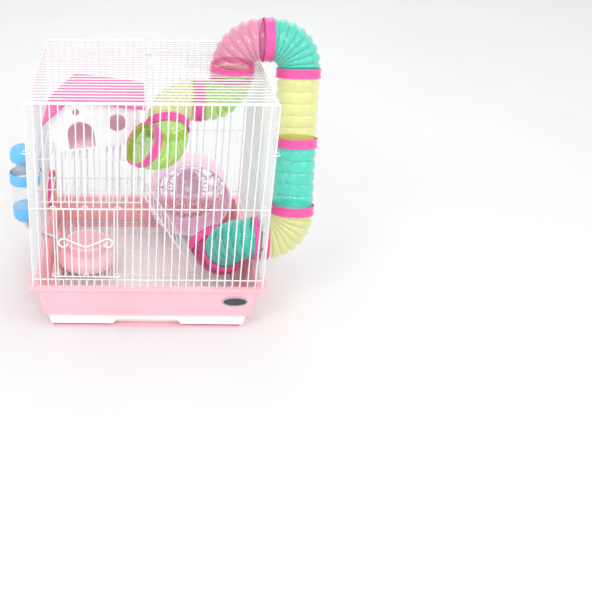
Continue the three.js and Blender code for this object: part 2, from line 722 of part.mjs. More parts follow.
// A band round the bottle, cut flat beside the wall, with two tongues that hook between the bars
function bottleHolder() {
  const inner = BOTTLE_R + 0.7;
  const outer = BOTTLE_R + 2.7;
  const ring = turned(
    [
      [inner, HOLDER_Z0],
      [outer, HOLDER_Z0],
      [outer, HOLDER_Z1],
      [inner, HOLDER_Z1],
      [inner, HOLDER_Z0],
    ],
    20,
  );
  const wallX = -HALF_W - BOTTLE_CENTRE.x;
  const flatX = wallX - WIRE / 2 - 0.4;
  const flat = box(flatX, wallX + 10, -2 * BOTTLE_R, 2 * BOTTLE_R, HOLDER_Z0 - 1, HOLDER_Z1 + 1);
  const arms = [-1, 1].map((side) => {
    const middle = side * (outer - 3.9);
    return box(8, flatX, middle - 3.9, middle + 3.9, HOLDER_Z0, HOLDER_Z1);
  });
  const clear = cylinder(inner, HOLDER_Z0 - 1, HOLDER_Z1 + 1, 20);
  const tongues = [-12, 12].map((y) =>
    box(wallX - 2.5, wallX + 2.5, y - 1.5, y + 1.5, HOLDER_Z0 + 2, HOLDER_Z1 - 2),
  );
  return join([cut(join([ring, ...arms]), [flat, clear]), ...tongues]);
}

// The steel drinking tube, from under the cap through the wall, with its ball at the tip
function sipperTube() {
  const path = new THREE.CatmullRomCurve3([
    new THREE.Vector3(0, 0, -GAP),
    new THREE.Vector3(0.4, 0, -6),
    new THREE.Vector3(14, 0, -16),
    new THREE.Vector3(47, 0, -32),
  ]);
  const ball = new THREE.SphereGeometry(2.4, 10, 6).translate(47.4, 0, -32.3);
  return join([wireAlong(path, 8, 3.2), ball]);
}

// Tubes, rings and ports ------------------------------------------------------------------------------------

function annulus(outer, inner) {
  const shape = new THREE.Shape();
  shape.absarc(0, 0, outer, 0, 2 * Math.PI);
  const hole = new THREE.Path();
  hole.absarc(0, 0, inner, 0, 2 * Math.PI, true);
  shape.holes.push(hole);
  return shape;
}

function straightTube(length) {
  return new THREE.ExtrudeGeometry(annulus(TUBE_R, TUBE_R - TUBE_WALL), {
    depth: length - 2 * GAP,
    bevelEnabled: false,
    curveSegments: TUBE_CURVE_SEGMENTS,
  }).translate(0, 0, GAP);
}

// A quarter bend whose corner is the origin: it comes in along +X and leaves along +Y
class ElbowPath extends THREE.Curve {
  constructor(inCuff, outCuff) {
    super();
    const bend = (BEND_R * Math.PI) / 2;
    Object.assign(this, { inCuff, bend, total: inCuff + bend + outCuff });
  }

  getPoint(t, target = new THREE.Vector3()) {
    const s = t * this.total - this.inCuff;
    if (s <= 0) return target.set(s - BEND_R, 0, 0);
    if (s >= this.bend) return target.set(0, BEND_R + s - this.bend, 0);
    const angle = s / BEND_R;
    return target.set(BEND_R * (Math.sin(angle) - 1), BEND_R * (1 - Math.cos(angle)), 0);
  }
}

function elbow(outCuff) {
  return new THREE.ExtrudeGeometry(annulus(TUBE_R, TUBE_R - TUBE_WALL), {
    steps: ELBOW_STEPS,
    curveSegments: TUBE_CURVE_SEGMENTS,
    extrudePath: new ElbowPath(CUFF - GAP, outCuff - GAP),
  });
}

function connectorRing(width) {
  const half = width / 2;
  return turned([
    [RING_BORE_R, -half],
    [RING_R, -half],
    [RING_R, half],
    [RING_BORE_R, half],
    [RING_BORE_R, -half],
  ]);
}

function portPlate() {
  const size = [PLATE_SIZE, PLATE_SIZE];
  const plate = taperedBlock(size, size, 0, PLATE_THICKNESS, PLATE_SIZE / 12);
  return cut(plate, [cylinder(RING_BORE_R, -1, PLATE_THICKNESS + 1)]);
}

// The dome's outline as [share of the tube's radius, share of the length], from its neck to near its top
const DOME_OUTLINE = [
  [1, 0],
  [0.96, 0.45],
  [0.8, 0.7],
  [0.52, 0.87],
  [0.2, 0.97],
];

// A dome that closes a port, its open neck at z 0 and its top at z length
function domeCap(length) {
  const outer = DOME_OUTLINE.map(([radius, height]) => [radius * TUBE_R, height * length]);
  const inner = outer.map(([radius, height]) => [radius - TUBE_WALL, 0.94 * height]).reverse();
  return turned([...outer, [0, length], [0, 0.92 * length], ...inner, outer[0]]);
}

// Turns an object's own x and y axes to the given directions and moves it to a place
function place(object, position, xDirection, yDirection) {
  const zDirection = new THREE.Vector3().crossVectors(xDirection, yDirection);
  const basis = new THREE.Matrix4().makeBasis(xDirection, yDirection, zDirection);
  object.quaternion.setFromRotationMatrix(basis);
  object.position.copy(position);
  return object;
}

// Turns an object's own z axis to the given direction and moves it to a place
function aim(object, position, direction) {
  object.quaternion.setFromUnitVectors(Z_AXIS, direction);
  object.position.copy(position);
  return object;
}

const along = (from, direction, distance) => from.clone().addScaledVector(direction, distance);
const UP = Z_AXIS;
const DOWN = Z_AXIS.clone().negate();
const RIGHT = X_AXIS;
const LEFT = X_AXIS.clone().negate();
const FORWARD = Y_AXIS.clone().negate();

function addElbow(group, name, color, corner, inward, outward, outCuff = CUFF) {
  group.add(place(mesh(name, elbow(outCuff), color, CLEAR_PLASTIC), corner, inward, outward));
}

function addRing(group, name, centre, direction, width = RING_WIDTH) {
  group.add(aim(mesh(name, connectorRing(width), COLOURS.magenta, { roughness: 0.35 }), centre, direction));
}

// A plate outside the wires, a ring on its outside and a ring on the inside; out points out of the cage
function addPort(group, name, centre, out, withOuterRing = true) {
  const plateAt = along(centre, out, WIRE / 2 + GAP);
  const plateTop = WIRE / 2 + 2 * GAP + PLATE_THICKNESS;
  group.add(aim(mesh(`port_plate_${name}`, portPlate(), COLOURS.clear, CLEAR_PLASTIC), plateAt, out));
  if (withOuterRing) {
    const outerAt = along(centre, out, plateTop + PORT_RING_WIDTH / 2);
    addRing(group, `port_ring_${name}_outer`, outerAt, out, PORT_RING_WIDTH);
  }
  const innerAt = along(centre, out, -CROSS_OFFSET - WIRE / 2 - GAP - PORT_RING_WIDTH / 2);
  addRing(group, `port_ring_${name}_inner`, innerAt, out, PORT_RING_WIDTH);
}

// Outside: up from the roof, over the edge and down to the right wall. Returns where it meets the wall
function addOuterRun(group) {
  const down = new THREE.Vector3(0, -Math.sin(TUBE_LEAN), -Math.cos(TUBE_LEAN));
  const corner1 = along(ROOF_PORT, UP, ELBOW_REACH);
  const ringA = along(corner1, RIGHT, ELBOW_REACH);
  const corner2 = along(ringA, RIGHT, ELBOW_REACH);
  const ringB = along(corner2, down, ELBOW_REACH);
  const ringC = along(ringB, down, STRAIGHT_LENGTH);
  const ringD = along(ringC, down, STRAIGHT_LENGTH);
  const corner3 = along(ringD, down, ELBOW_REACH);
  addElbow(group, "outer_elbow_pink", COLOURS.clearPink, corner1, UP, RIGHT);
  addElbow(group, "outer_elbow_teal", COLOURS.teal, corner2, RIGHT, down);
  addElbow(group, "outer_elbow_yellow", COLOURS.yellow, corner3, down, LEFT);
  const upper = mesh("outer_tube_yellow", straightTube(STRAIGHT_LENGTH), COLOURS.yellow, CLEAR_PLASTIC);
  const lower = mesh("outer_tube_teal", straightTube(STRAIGHT_LENGTH), COLOURS.teal, CLEAR_PLASTIC);
  group.add(aim(upper, ringB, down), aim(lower, ringC, down));
  addRing(group, "outer_ring_top", ringA, RIGHT);
  addRing(group, "outer_ring_upper", ringB, down);
  addRing(group, "outer_ring_middle", ringC, down);
  addRing(group, "outer_ring_lower", ringD, down);
  return along(corner3, LEFT, ELBOW_REACH);
}

// Inside, under the roof port: down, to the left, forwards, and a mouth that faces the front left
function addUpperInnerRun(group) {
  const lean = degrees(54.6);
  const turn = degrees(40.3);
  const forward = new THREE.Vector3(0, -Math.sin(lean), -Math.cos(lean));
  const square = new THREE.Vector3(0, -Math.cos(lean), Math.sin(lean));
  const mouth = LEFT.clone().multiplyScalar(Math.cos(turn)).addScaledVector(square, Math.sin(turn));
  const corner1 = along(ROOF_PORT, DOWN, ELBOW_REACH);
  const ring1 = along(corner1, LEFT, ELBOW_REACH);
  const corner2 = along(ring1, LEFT, ELBOW_REACH);
  const ring2 = along(corner2, forward, ELBOW_REACH);
  const corner3 = along(ring2, forward, ELBOW_REACH);
  const mouthRing = along(corner3, mouth, ELBOW_REACH);
  addElbow(group, "upper_elbow_lime", COLOURS.lime, corner1, DOWN, LEFT);
  addElbow(group, "upper_elbow_yellow", COLOURS.yellow, corner2, LEFT, forward);
  addElbow(group, "upper_mouth_elbow", COLOURS.lime, corner3, forward, mouth, MOUTH_CUFF);
  addRing(group, "upper_ring_side", ring1, LEFT);
  addRing(group, "upper_ring_front", ring2, forward);
  addRing(group, "upper_mouth_ring", mouthRing, mouth);
}

// Inside the right wall port: to the left and down, then a mouth near the floor that faces the back left
function addLowerInnerRun(group, wallPort) {
  const lean = degrees(33);
  const turn = degrees(60);
  const down = new THREE.Vector3(0, Math.sin(lean), -Math.cos(lean));
  const square = new THREE.Vector3(0, Math.cos(lean), Math.sin(lean));
  const mouth = LEFT.clone().multiplyScalar(Math.cos(turn)).addScaledVector(square, Math.sin(turn));
  const corner1 = along(wallPort, LEFT, ELBOW_REACH);
  const ring1 = along(corner1, down, ELBOW_REACH);
  const corner2 = along(ring1, down, ELBOW_REACH);
  const mouthRing = along(corner2, mouth, ELBOW_REACH);
  addElbow(group, "lower_elbow_teal", COLOURS.teal, corner1, LEFT, down);
  addElbow(group, "lower_mouth_elbow", COLOURS.clearPink, corner2, down, mouth, MOUTH_CUFF);
  addRing(group, "lower_ring_middle", ring1, down);
  addRing(group, "lower_mouth_ring", mouthRing, mouth);
}

// The whole object ------------------------------------------------------------------------------------------

const STEEL_WIRE = { roughness: 0.3, metalness: 0.1 };

function addBase(group) {
  group.add(mesh("base_tub", baseTub(), COLOURS.basePink));
  group.add(mesh("drawer", drawer(), COLOURS.white));
  group.add(mesh("floor_grate", floorGrate(), COLOURS.wire, STEEL_WIRE));
  const plate = mesh("badge", badge(), COLOURS.badge);
  plate.position.set(115, -127.6, RIM_Z - 19);
  plate.rotation.x = Math.atan(4.5 / 38);
  group.add(plate);
}

function addPanels(group, rightPort) {
  group.add(mesh("front_panel", frontPanel(), COLOURS.wire, STEEL_WIRE));
  group.add(mesh("back_panel", backPanel(), COLOURS.wire, STEEL_WIRE));
  group.add(mesh("left_panel", leftPanel(), COLOURS.wire, STEEL_WIRE));
  group.add(mesh("right_panel", sidePanel(1, rightPort), COLOURS.wire, STEEL_WIRE));
  group.add(mesh("roof_panel", roofPanel(), COLOURS.wire, STEEL_WIRE));
  group.add(mesh("front_door", frontDoor(), COLOURS.wire, STEEL_WIRE));
  group.add(mesh("roof_hatch", roofHatch(), COLOURS.wire, STEEL_WIRE));
  for (const [side, sign] of [["left", -1], ["right", 1]]) {
    for (const [end, depth] of [["front", -1], ["back", 1]]) {
      const clip = mesh(`corner_clip_${end}_${side}`, cornerClip(), COLOURS.wire, STEEL_WIRE);
      clip.position.set(sign * HALF_W, depth * (HALF_D - 2.5), HIGH_CROSS_Z + 27);
      clip.rotation.z = sign > 0 ? 0 : Math.PI;
      group.add(clip);
    }
  }
}

function addFurniture(group) {
  group.add(mesh("lower_shelf", shelf(LOWER_SHELF), COLOURS.wire, STEEL_WIRE));
  group.add(mesh("upper_shelf", upperShelf(), COLOURS.wire, STEEL_WIRE));
  const climb = mesh("ladder", ladder(), COLOURS.wire, STEEL_WIRE);
  climb.position.copy(LADDER_TOP);
  climb.rotation.y = Math.atan2(LADDER_TOP.z - LADDER_FOOT.z, LADDER_FOOT.x - LADDER_TOP.x);
  group.add(climb);
  group.add(aim(mesh("wheel", wheelDrum(), COLOURS.wheelPink), WHEEL_CENTRE, FORWARD));
  group.add(aim(mesh("wheel_axle", wheelAxle(), COLOURS.white), WHEEL_CENTRE, FORWARD));
  group.add(mesh("wheel_bracket", wheelBracket(), COLOURS.wheelPink));
  const dish = mesh("food_bowl", bowl(), COLOURS.bowlPink);
  dish.position.copy(BOWL_CENTRE);
  group.add(dish);
  const house = new THREE.Group();
  house.position.set(HOUSE_LEFT_X, HOUSE_FRONT_Y, UPPER_SHELF.z + WIRE / 2 + GAP);
  house.rotation.y = -HOUSE_TILT;
  house.add(mesh("house_body", houseBody(), COLOURS.white));
  house.add(mesh("house_roof", houseRoof(), COLOURS.magenta));
  group.add(house);
}

function addBottle(group) {
  const bottle = new THREE.Group();
  bottle.position.copy(BOTTLE_CENTRE);
  bottle.add(mesh("bottle_body", bottleBody(), COLOURS.clear, CLEAR_PLASTIC));
  const top = mesh("bottle_top_cap", bottleCap(TOP_CAP_HEIGHT), COLOURS.blue);
  top.position.z = BOTTLE_LENGTH - TOP_CAP_HEIGHT;
  const bottom = mesh("bottle_bottom_cap", bottleCap(BOTTOM_CAP_HEIGHT), COLOURS.blue);
  bottom.position.z = BOTTOM_CAP_HEIGHT;
  bottom.rotation.x = Math.PI;
  const sipper = mesh("sipper_tube", sipperTube(), COLOURS.steel, { roughness: 0.2, metalness: 1 });
  bottle.add(top, bottom, sipper, mesh("bottle_holder", bottleHolder(), COLOURS.blue));
  group.add(bottle);
}

const cage = new THREE.Group();
addBase(cage);
const rightPort = addOuterRun(cage);
addUpperInnerRun(cage);
addLowerInnerRun(cage, rightPort);
addPort(cage, "roof", ROOF_PORT, UP);
addPort(cage, "right", rightPort, RIGHT);
addPort(cage, "left", LEFT_PORT, LEFT, false);
const dome = mesh("dome_cap", domeCap(38), COLOURS.yellow, CLEAR_PLASTIC);
cage.add(aim(dome, along(LEFT_PORT, LEFT, -9), LEFT));
addPanels(cage, rightPort);
addFurniture(cage);
addBottle(cage);

export default cage;
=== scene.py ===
"""The looks of the hamster cage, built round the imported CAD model. Lengths are in millimetres until a
piece's mesh is made, and the frame is the CAD's: +X right, +Y back, +Z up, origin under the base."""

import math

import bmesh
import bpy
import numpy as np
from mathutils import Matrix, Vector


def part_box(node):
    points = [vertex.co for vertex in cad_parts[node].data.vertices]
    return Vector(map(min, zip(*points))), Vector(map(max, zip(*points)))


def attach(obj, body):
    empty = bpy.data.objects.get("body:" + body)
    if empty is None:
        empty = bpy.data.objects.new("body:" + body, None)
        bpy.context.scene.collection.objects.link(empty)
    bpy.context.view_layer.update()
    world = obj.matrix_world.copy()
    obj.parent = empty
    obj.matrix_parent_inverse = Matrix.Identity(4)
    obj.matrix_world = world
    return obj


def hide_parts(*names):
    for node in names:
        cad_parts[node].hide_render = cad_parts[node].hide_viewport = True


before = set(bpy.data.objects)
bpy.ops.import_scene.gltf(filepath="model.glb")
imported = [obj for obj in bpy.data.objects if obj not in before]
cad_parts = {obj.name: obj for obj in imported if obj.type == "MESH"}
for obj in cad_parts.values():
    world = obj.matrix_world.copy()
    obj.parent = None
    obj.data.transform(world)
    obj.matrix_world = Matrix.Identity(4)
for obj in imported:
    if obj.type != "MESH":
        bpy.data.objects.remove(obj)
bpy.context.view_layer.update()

MM = 0.001


def box_mm(node):
    """Lowest and highest corner of a CAD node, in millimetres."""
    low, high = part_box(node)
    return np.array(low) / MM, np.array(high) / MM


def centre_mm(node):
    low, high = box_mm(node)
    return (low + high) / 2


# Driving sizes. They follow the CAD's, but the wires are drawn slightly thinner
HALF_W = 150.0
HALF_D = 125.0
RIM_Z = 68.0
ROOF_Z = 326.0
LOW_CROSS_Z = RIM_Z + 11.5
MID_CROSS_Z = RIM_Z + 117
HIGH_CROSS_Z = RIM_Z + 167
WIRE_R = 0.9
THIN_WIRE_R = 0.8
BORDER_WIRE_R = 1.15
BAR_PITCH = 10.0
SIDE_BAR_Y = 120.0
SIDE_CROSS_Y = SIDE_BAR_Y + 1
WELD_OFFSET = 1.6
PORT_HOLE_R = 27.8

X = np.array([1.0, 0.0, 0.0])
Y = np.array([0.0, 1.0, 0.0])
Z = np.array([0.0, 0.0, 1.0])


# Camera, light and floor

CAMERA_PLACE = Vector((-30.6, -962.4, 661.9)) * MM
CAMERA_PITCH = math.radians(25.46)
CAMERA_YAW = math.radians(-0.33)
CAMERA_ROLL = math.radians(0.29)
CAMERA_LENS = 47.0
CAMERA_SHIFT = (0.295, -0.2414)

SKY_STRENGTH = 1.08
LAMP_AIM = Vector((0, 0, 0.15))
# Each lamp's name, place and disk size in metres, and power in watts
LAMPS = (
    ("key_light", (-0.7, -1.1, 1.5), 0.6, 7),
    ("fill_light", (1.1, -0.7, 1.1), 0.7, 3),
    ("rim_light", (0.3, 1.2, 1.3), 0.9, 3),
    ("sparkle_light", (0.15, -1.3, 1.2), 0.14, 2.4),
)


def add_camera():
    data = bpy.data.cameras.new("camera")
    data.lens = CAMERA_LENS
    data.sensor_width = 36.0
    data.shift_x, data.shift_y = CAMERA_SHIFT
    camera = bpy.data.objects.new("camera", data)
    turn = Matrix.Rotation(-CAMERA_YAW, 4, "Z")
    tilt = Matrix.Rotation(math.pi / 2 - CAMERA_PITCH, 4, "X")
    roll = Matrix.Rotation(CAMERA_ROLL, 4, "Z")
    camera.matrix_world = Matrix.Translation(CAMERA_PLACE) @ turn @ tilt @ roll
    bpy.context.scene.collection.objects.link(camera)
    bpy.context.scene.camera = camera


def add_area_light(name, place, size, power):
    data = bpy.data.lights.new(name, "AREA")
    data.shape = "DISK"
    data.size = size
    data.energy = power
    light = bpy.data.objects.new(name, data)
    light.location = place
    aim = LAMP_AIM - light.location
    light.rotation_euler = aim.to_track_quat("-Z", "Y").to_euler()
    bpy.context.scene.collection.objects.link(light)


def add_studio():
    world = bpy.data.worlds.new("studio")
    bpy.context.scene.world = world
    world.use_nodes = True
    background = world.node_tree.nodes["Background"]
    background.inputs["Color"].default_value = (1.0, 1.0, 1.0, 1.0)
    background.inputs["Strength"].default_value = SKY_STRENGTH
    for lamp in LAMPS:
        add_area_light(*lamp)
    scene = bpy.context.scene
    scene.view_settings.view_transform = "Standard"
    scene.view_settings.look = "None"


# Materials


MATERIALS = {}


def new_material(name):
    """Starts a material and keeps it by its plain name, to which Blender may add a number."""
    material = bpy.data.materials.new(name)
    MATERIALS[name] = material
    material.use_nodes = True
    tree = material.node_tree
    return tree, tree.nodes["Principled BSDF"]


def set_inputs(node, values):
    for socket, value in values.items():
        node.inputs[socket].default_value = value


def noise(tree, scale, detail=3.0):
    coordinates = tree.nodes.new("ShaderNodeTexCoord")
    node = tree.nodes.new("ShaderNodeTexNoise")
    set_inputs(node, {"Scale": scale, "Detail": detail})
    tree.links.new(coordinates.outputs["Object"], node.inputs["Vector"])
    return node.outputs["Fac"]


def map_range(tree, value, low, high, from_low=0.3, from_high=0.7):
    node = tree.nodes.new("ShaderNodeMapRange")
    set_inputs(node, {"From Min": from_low, "From Max": from_high, "To Min": low, "To Max": high})
    tree.links.new(value, node.inputs["Value"])
    return node.outputs["Result"]


def mix_colour(tree, factor, first, second):
    node = tree.nodes.new("ShaderNodeMix")
    node.data_type = "RGBA"
    tree.links.new(factor, node.inputs["Factor"])
    for socket, colour in ((node.inputs[6], first), (node.inputs[7], second)):
        if isinstance(colour, tuple):
            socket.default_value = (*colour, 1.0)
        else:
            tree.links.new(colour, socket)
    return node.outputs[2]


def cloudy(tree, scale, first, second):
    """A colour that drifts between two in soft clouds."""
    return mix_colour(tree, map_range(tree, noise(tree, scale), 0.0, 1.0), first, second)


def set_gloss(tree, shader, scale, low, high):
    tree.links.new(map_range(tree, noise(tree, scale), low, high), shader.inputs["Roughness"])


def shade(colour, factor):
    return tuple(min(1.0, c * factor) for c in colour)


def add_bump(tree, shader, scale, strength, distance):
    node = tree.nodes.new("ShaderNodeBump")
    set_inputs(node, {"Strength": strength, "Distance": distance})
    tree.links.new(noise(tree, scale, 4.0), node.inputs["Height"])
    tree.links.new(node.outputs["Normal"], shader.inputs["Normal"])


def worn_edges(tree, colour, edge_colour):
    """Lightens the colour along convex edges, where moulded plastic is rubbed."""
    geometry = tree.nodes.new("ShaderNodeNewGeometry")
    factor = map_range(tree, geometry.outputs["Pointiness"], 0.0, 0.55, 0.52, 0.62)
    return mix_colour(tree, factor, colour, edge_colour)


def plastic(name, colour, roughness=0.32, variation=0.05, grain=0.12, glow=0.0, painted_glow=0.0):
    """Moulded plastic: cloudy colour, uneven gloss, a fine moulded grain and rubbed edges, and if asked a
    painted pink glow that is no lamp.
    """
    tree, shader = new_material(name)
    body = cloudy(tree, 14.0, shade(colour, 1 - variation), shade(colour, 1 + variation))
    body = worn_edges(tree, body, shade(colour, 1.18))
    tree.links.new(body, shader.inputs["Base Color"])
    set_gloss(tree, shader, 60.0, roughness - 0.07, roughness + 0.09)
    add_bump(tree, shader, 1400.0, grain, 0.0002)
    shader.inputs["IOR"].default_value = 1.5
    if glow:
        set_inputs(shader, {"Subsurface Weight": glow, "Subsurface Radius": (0.004, 0.002, 0.002)})
    # Painted glow: the surface gives off a faint pink light, though it is no lamp.
    if painted_glow:
        set_inputs(shader, {"Emission Color": (1.0, 0.72, 0.82, 1.0), "Emission Strength": painted_glow})


def clear_plastic(name, colour, cover=0.3, roughness=0.05, painted_valley_shade=0.3):
    """Tinted see-through plastic: cover is how much of what is behind it each skin of a wall hides, and the
    hollows between its ridges are darkened with painted shade.
    """
    tree, shader = new_material(name)
    body = cloudy(tree, 30.0, shade(colour, 0.95), shade(colour, 1.04))
    # Painted shade: pointiness picks out the hollows between the ridges, which are mixed towards a darker
    # copy of the colour.
    geometry = tree.nodes.new("ShaderNodeNewGeometry")
    raised = map_range(tree, geometry.outputs["Pointiness"], 0.0, 1.0, 0.46, 0.498)
    body = mix_colour(tree, raised, shade(colour, painted_valley_shade), body)
    tree.links.new(body, shader.inputs["Base Color"])
    set_gloss(tree, shader, 120.0, roughness - 0.03, roughness + 0.04)
    set_inputs(shader, {"Alpha": cover, "IOR": 1.6, "Coat Weight": 1.0, "Coat Roughness": 0.04})
    add_bump(tree, shader, 160.0, 0.25, 0.0006)


def painted_wire(name, colour):
    """White dipped wire: glossy paint with an orange-peel bump and thin grey patches."""
    tree, shader = new_material(name)
    cloud = map_range(tree, noise(tree, 90.0), 0.0, 1.0, 0.35, 0.75)
    body = mix_colour(tree, cloud, colour, shade(colour, 0.9))
    body = worn_edges(tree, body, shade(colour, 1.1))
    tree.links.new(body, shader.inputs["Base Color"])
    set_gloss(tree, shader, 300.0, 0.2, 0.38)
    set_inputs(shader, {"Coat Weight": 0.35, "Coat Roughness": 0.12})
    add_bump(tree, shader, 900.0, 0.2, 0.0002)


def polished_steel(name):
    tree, shader = new_material(name)
    body = cloudy(tree, 220.0, (0.58, 0.59, 0.61), (0.74, 0.75, 0.77))
    tree.links.new(body, shader.inputs["Base Color"])
    shader.inputs["Metallic"].default_value = 1.0
    set_gloss(tree, shader, 500.0, 0.12, 0.3)
    add_bump(tree, shader, 1200.0, 0.1, 0.0001)


def floor_material():
    tree, shader = new_material("studio_floor")
    grey = cloudy(tree, 3.0, (0.72, 0.725, 0.73), (0.75, 0.755, 0.76))
    tree.links.new(grey, shader.inputs["Base Color"])
    shader.inputs["Roughness"].default_value = 0.7


plastic("base_plastic", (0.96, 0.52, 0.6), 0.3, 0.03)
# The basin's inside: a deeper, darker copy of the base pink, which is painted shade and painted bounce light.
plastic("base_inside_painted_shade", (1.0, 0.5, 0.52), 0.36, 0.04)
plastic("white_plastic", (0.88, 0.88, 0.89), 0.3, 0.03)
plastic("tray_plastic", (0.98, 0.89, 0.9), 0.32, 0.02)
# The house's room: a mauve copy of the white plastic with a faint pink glow, painted light in place of the
# light that the thin walls let in.
plastic("house_inside_painted_light", (0.9, 0.82, 0.86), 0.4, 0.04, painted_glow=0.12)
painted_wire("white_wire", (0.79, 0.81, 0.82))
plastic("badge_plastic", (0.05, 0.055, 0.07), 0.25, 0.1)
plastic("badge_rim", (0.4, 0.42, 0.46), 0.22, 0.08)
plastic("wheel_plastic", (1.0, 0.7, 0.86), 0.3, 0.04, glow=0.15)
plastic("bowl_plastic", (0.99, 0.64, 0.68), 0.28, 0.04)
plastic("magenta_plastic", (0.85, 0.09, 0.37), 0.28, 0.07)
plastic("blue_plastic", (0.14, 0.5, 0.9), 0.28, 0.06, glow=0.1)
clear_plastic("clear_plastic", (0.86, 0.89, 0.91), 0.14, 0.06, 0.85)
clear_plastic("milky_sheet", (0.93, 0.94, 0.95), 0.35, 0.25, 0.9)
polished_steel("steel")
clear_plastic("pink_tube", (0.96, 0.2, 0.45), 0.33)
clear_plastic("rose_tube", (0.84, 0.04, 0.3), 0.55)
clear_plastic("teal_tube", (0.0, 0.82, 0.64), 0.45)
clear_plastic("yellow_tube", (0.92, 0.93, 0.16), 0.28)
clear_plastic("lime_tube", (0.5, 0.98, 0.02), 0.38)

# Materials that share the slot of another
SLOTS = {
    "rose_tube": "pink_tube",
    "milky_sheet": "clear_plastic",
    "badge_rim": "badge_plastic",
    "tray_plastic": "white_plastic",
}


# Mesh helpers


class Shape:
    """Vertices in millimetres and faces, gathered for one piece."""

    def __init__(self):
        self.points = []
        self.faces = []

    def add(self, points, faces):
        start = len(self.points)
        self.points.extend(map(tuple, points))
        self.faces.extend(tuple(start + i for i in face) for face in faces)
        return self

    def add_rings(self, rings, closed=False, caps=True):
        """Skins a run of rings that all have the same number of points."""
        sides = len(rings[0])
        faces = []
        count = len(rings)
        for i in range(count if closed else count - 1):
            a, b = i * sides, ((i + 1) % count) * sides
            for j in range(sides):
                k = (j + 1) % sides
                faces.append((a + j, a + k, b + k, b + j))
        if caps and not closed:
            faces.append(tuple(range(sides))[::-1])
            faces.append(tuple((count - 1) * sides + j for j in range(sides)))
        return self.add(np.concatenate(rings), faces)


def unit(vector):
    return np.asarray(vector, float) / np.linalg.norm(vector)


def moving_frames(path):
    """The tangent and two square directions at each point of a path, turned as little as possible."""
    tangents = np.gradient(path, axis=0)
    tangents /= np.linalg.norm(tangents, axis=1)[:, None]
    start = Z if abs(tangents[0] @ Z) < 0.9 else X
    normal = unit(start - tangents[0] * (start @ tangents[0]))
    normals = []
    for tangent in tangents:
        normal = unit(normal - tangent * (normal @ tangent))
        normals.append(normal)
    normals = np.array(normals)
    return tangents, normals, np.cross(tangents, normals)


# The radius that stands for a point on the axis of a turned body
POINT_R = 0.01


def circle_angles(sides):
    return np.arange(sides) * 2 * math.pi / sides


def add_wire(shape, path, radius=WIRE_R, sides=8):
    """A round wire along a path, with slightly rounded ends."""
    path = np.asarray(path, float)
    tangents, normals, binormals = moving_frames(path)
    angles = circle_angles(sides)

    def ring(i, r, shift):
        offsets = np.outer(np.cos(angles), normals[i]) + np.outer(np.sin(angles), binormals[i])
        return path[i] + shift * tangents[i] + r * offsets

    rings = [ring(0, 0.6 * radius, 0.0)]
    rings += [ring(i, radius, 0.35 * radius if i == 0 else 0.0) for i in range(len(path) - 1)]
    rings += [ring(-1, radius, -0.35 * radius), ring(-1, 0.6 * radius, 0.0)]
    shape.add_rings(rings)


def arc(centre, radius, u, v, start, sweep, count):
    angles = np.radians(start + sweep * np.linspace(0, 1, count))
    return np.asarray(centre, float) + radius * (np.outer(np.cos(angles), u) + np.outer(np.sin(angles), v))


def curve(start, corner, end, count):
    """Points from start to end on a curve that the corner pulls on."""
    return [(1 - t) ** 2 * start + 2 * t * (1 - t) * corner + t**2 * end for t in np.linspace(0, 1, count)]


def rounded_path(corners, radius, count=6):
    """A path through corner points with each inner corner rounded by a quarter-like bend."""
    corners = [np.asarray(c, float) for c in corners]
    path = [corners[0]]
    for before, corner, after in zip(corners, corners[1:], corners[2:]):
        back, ahead = unit(before - corner), unit(after - corner)
        reach = min(radius, 0.45 * np.linalg.norm(before - corner), 0.45 * np.linalg.norm(after - corner))
        start, end = corner + back * reach, corner + ahead * reach
        path += curve(start, corner, end, count)
    path.append(corners[-1])
    return np.array(path)


def frame_to(origin, direction, hint=X):
    """A function that moves points made round +Z to an origin and a direction."""
    z = unit(direction)
    hint = hint if abs(z @ hint) < 0.95 else Y
    x = unit(hint - z * (z @ hint))
    basis = np.stack([x, np.cross(z, x), z])
    return lambda points: np.asarray(origin, float) + np.asarray(points, float) @ basis


def turned(profile, segments=64, wave=None):
    """A body turned round Z from a closed loop of [radius, height]; wave(angle, index) changes the radius."""
    angles = circle_angles(segments)
    rings = []
    for index, (radius, height) in enumerate(profile):
        r = np.full(segments, float(radius))
        if wave is not None:
            r = r + wave(angles, index)
        rings.append(np.stack([r * np.cos(angles), r * np.sin(angles), np.full(segments, height)], 1))
    return rings


def shift_by(offset):
    """A function that moves points by an offset."""
    return lambda points: points + np.asarray(offset, float)


def turned_shape(profile, segments, place, wave=None, closed=True):
    """A turned body, put in its place by a function."""
    return Shape().add_rings([place(ring) for ring in turned(profile, segments, wave)], closed=closed)


def soften(profile, radius, count=4):
    """Rounds every corner of a closed [radius, height] loop."""
    points = [np.array(p, float) for p in profile]
    loop = []
    for i, corner in enumerate(points):
        before, after = points[i - 1], points[(i + 1) % len(points)]
        reach_back = min(radius, 0.45 * np.linalg.norm(before - corner))
        reach_on = min(radius, 0.45 * np.linalg.norm(after - corner))
        start = corner + (before - corner) * reach_back / np.linalg.norm(before - corner)
        end = corner + (after - corner) * reach_on / np.linalg.norm(after - corner)
        loop += curve(start, corner, end, count)
    return loop


def rounded_rectangle(half_w, half_d, radius, z, per_corner=8):
    points = []
    for sx, sy, start in ((1, -1, -90), (1, 1, 0), (-1, 1, 90), (-1, -1, 180)):
        corner = (sx * (half_w - radius), sy * (half_d - radius), z)
        points.append(arc(corner, radius, X, Y, start, 90, per_corner))
    return np.concatenate(points)


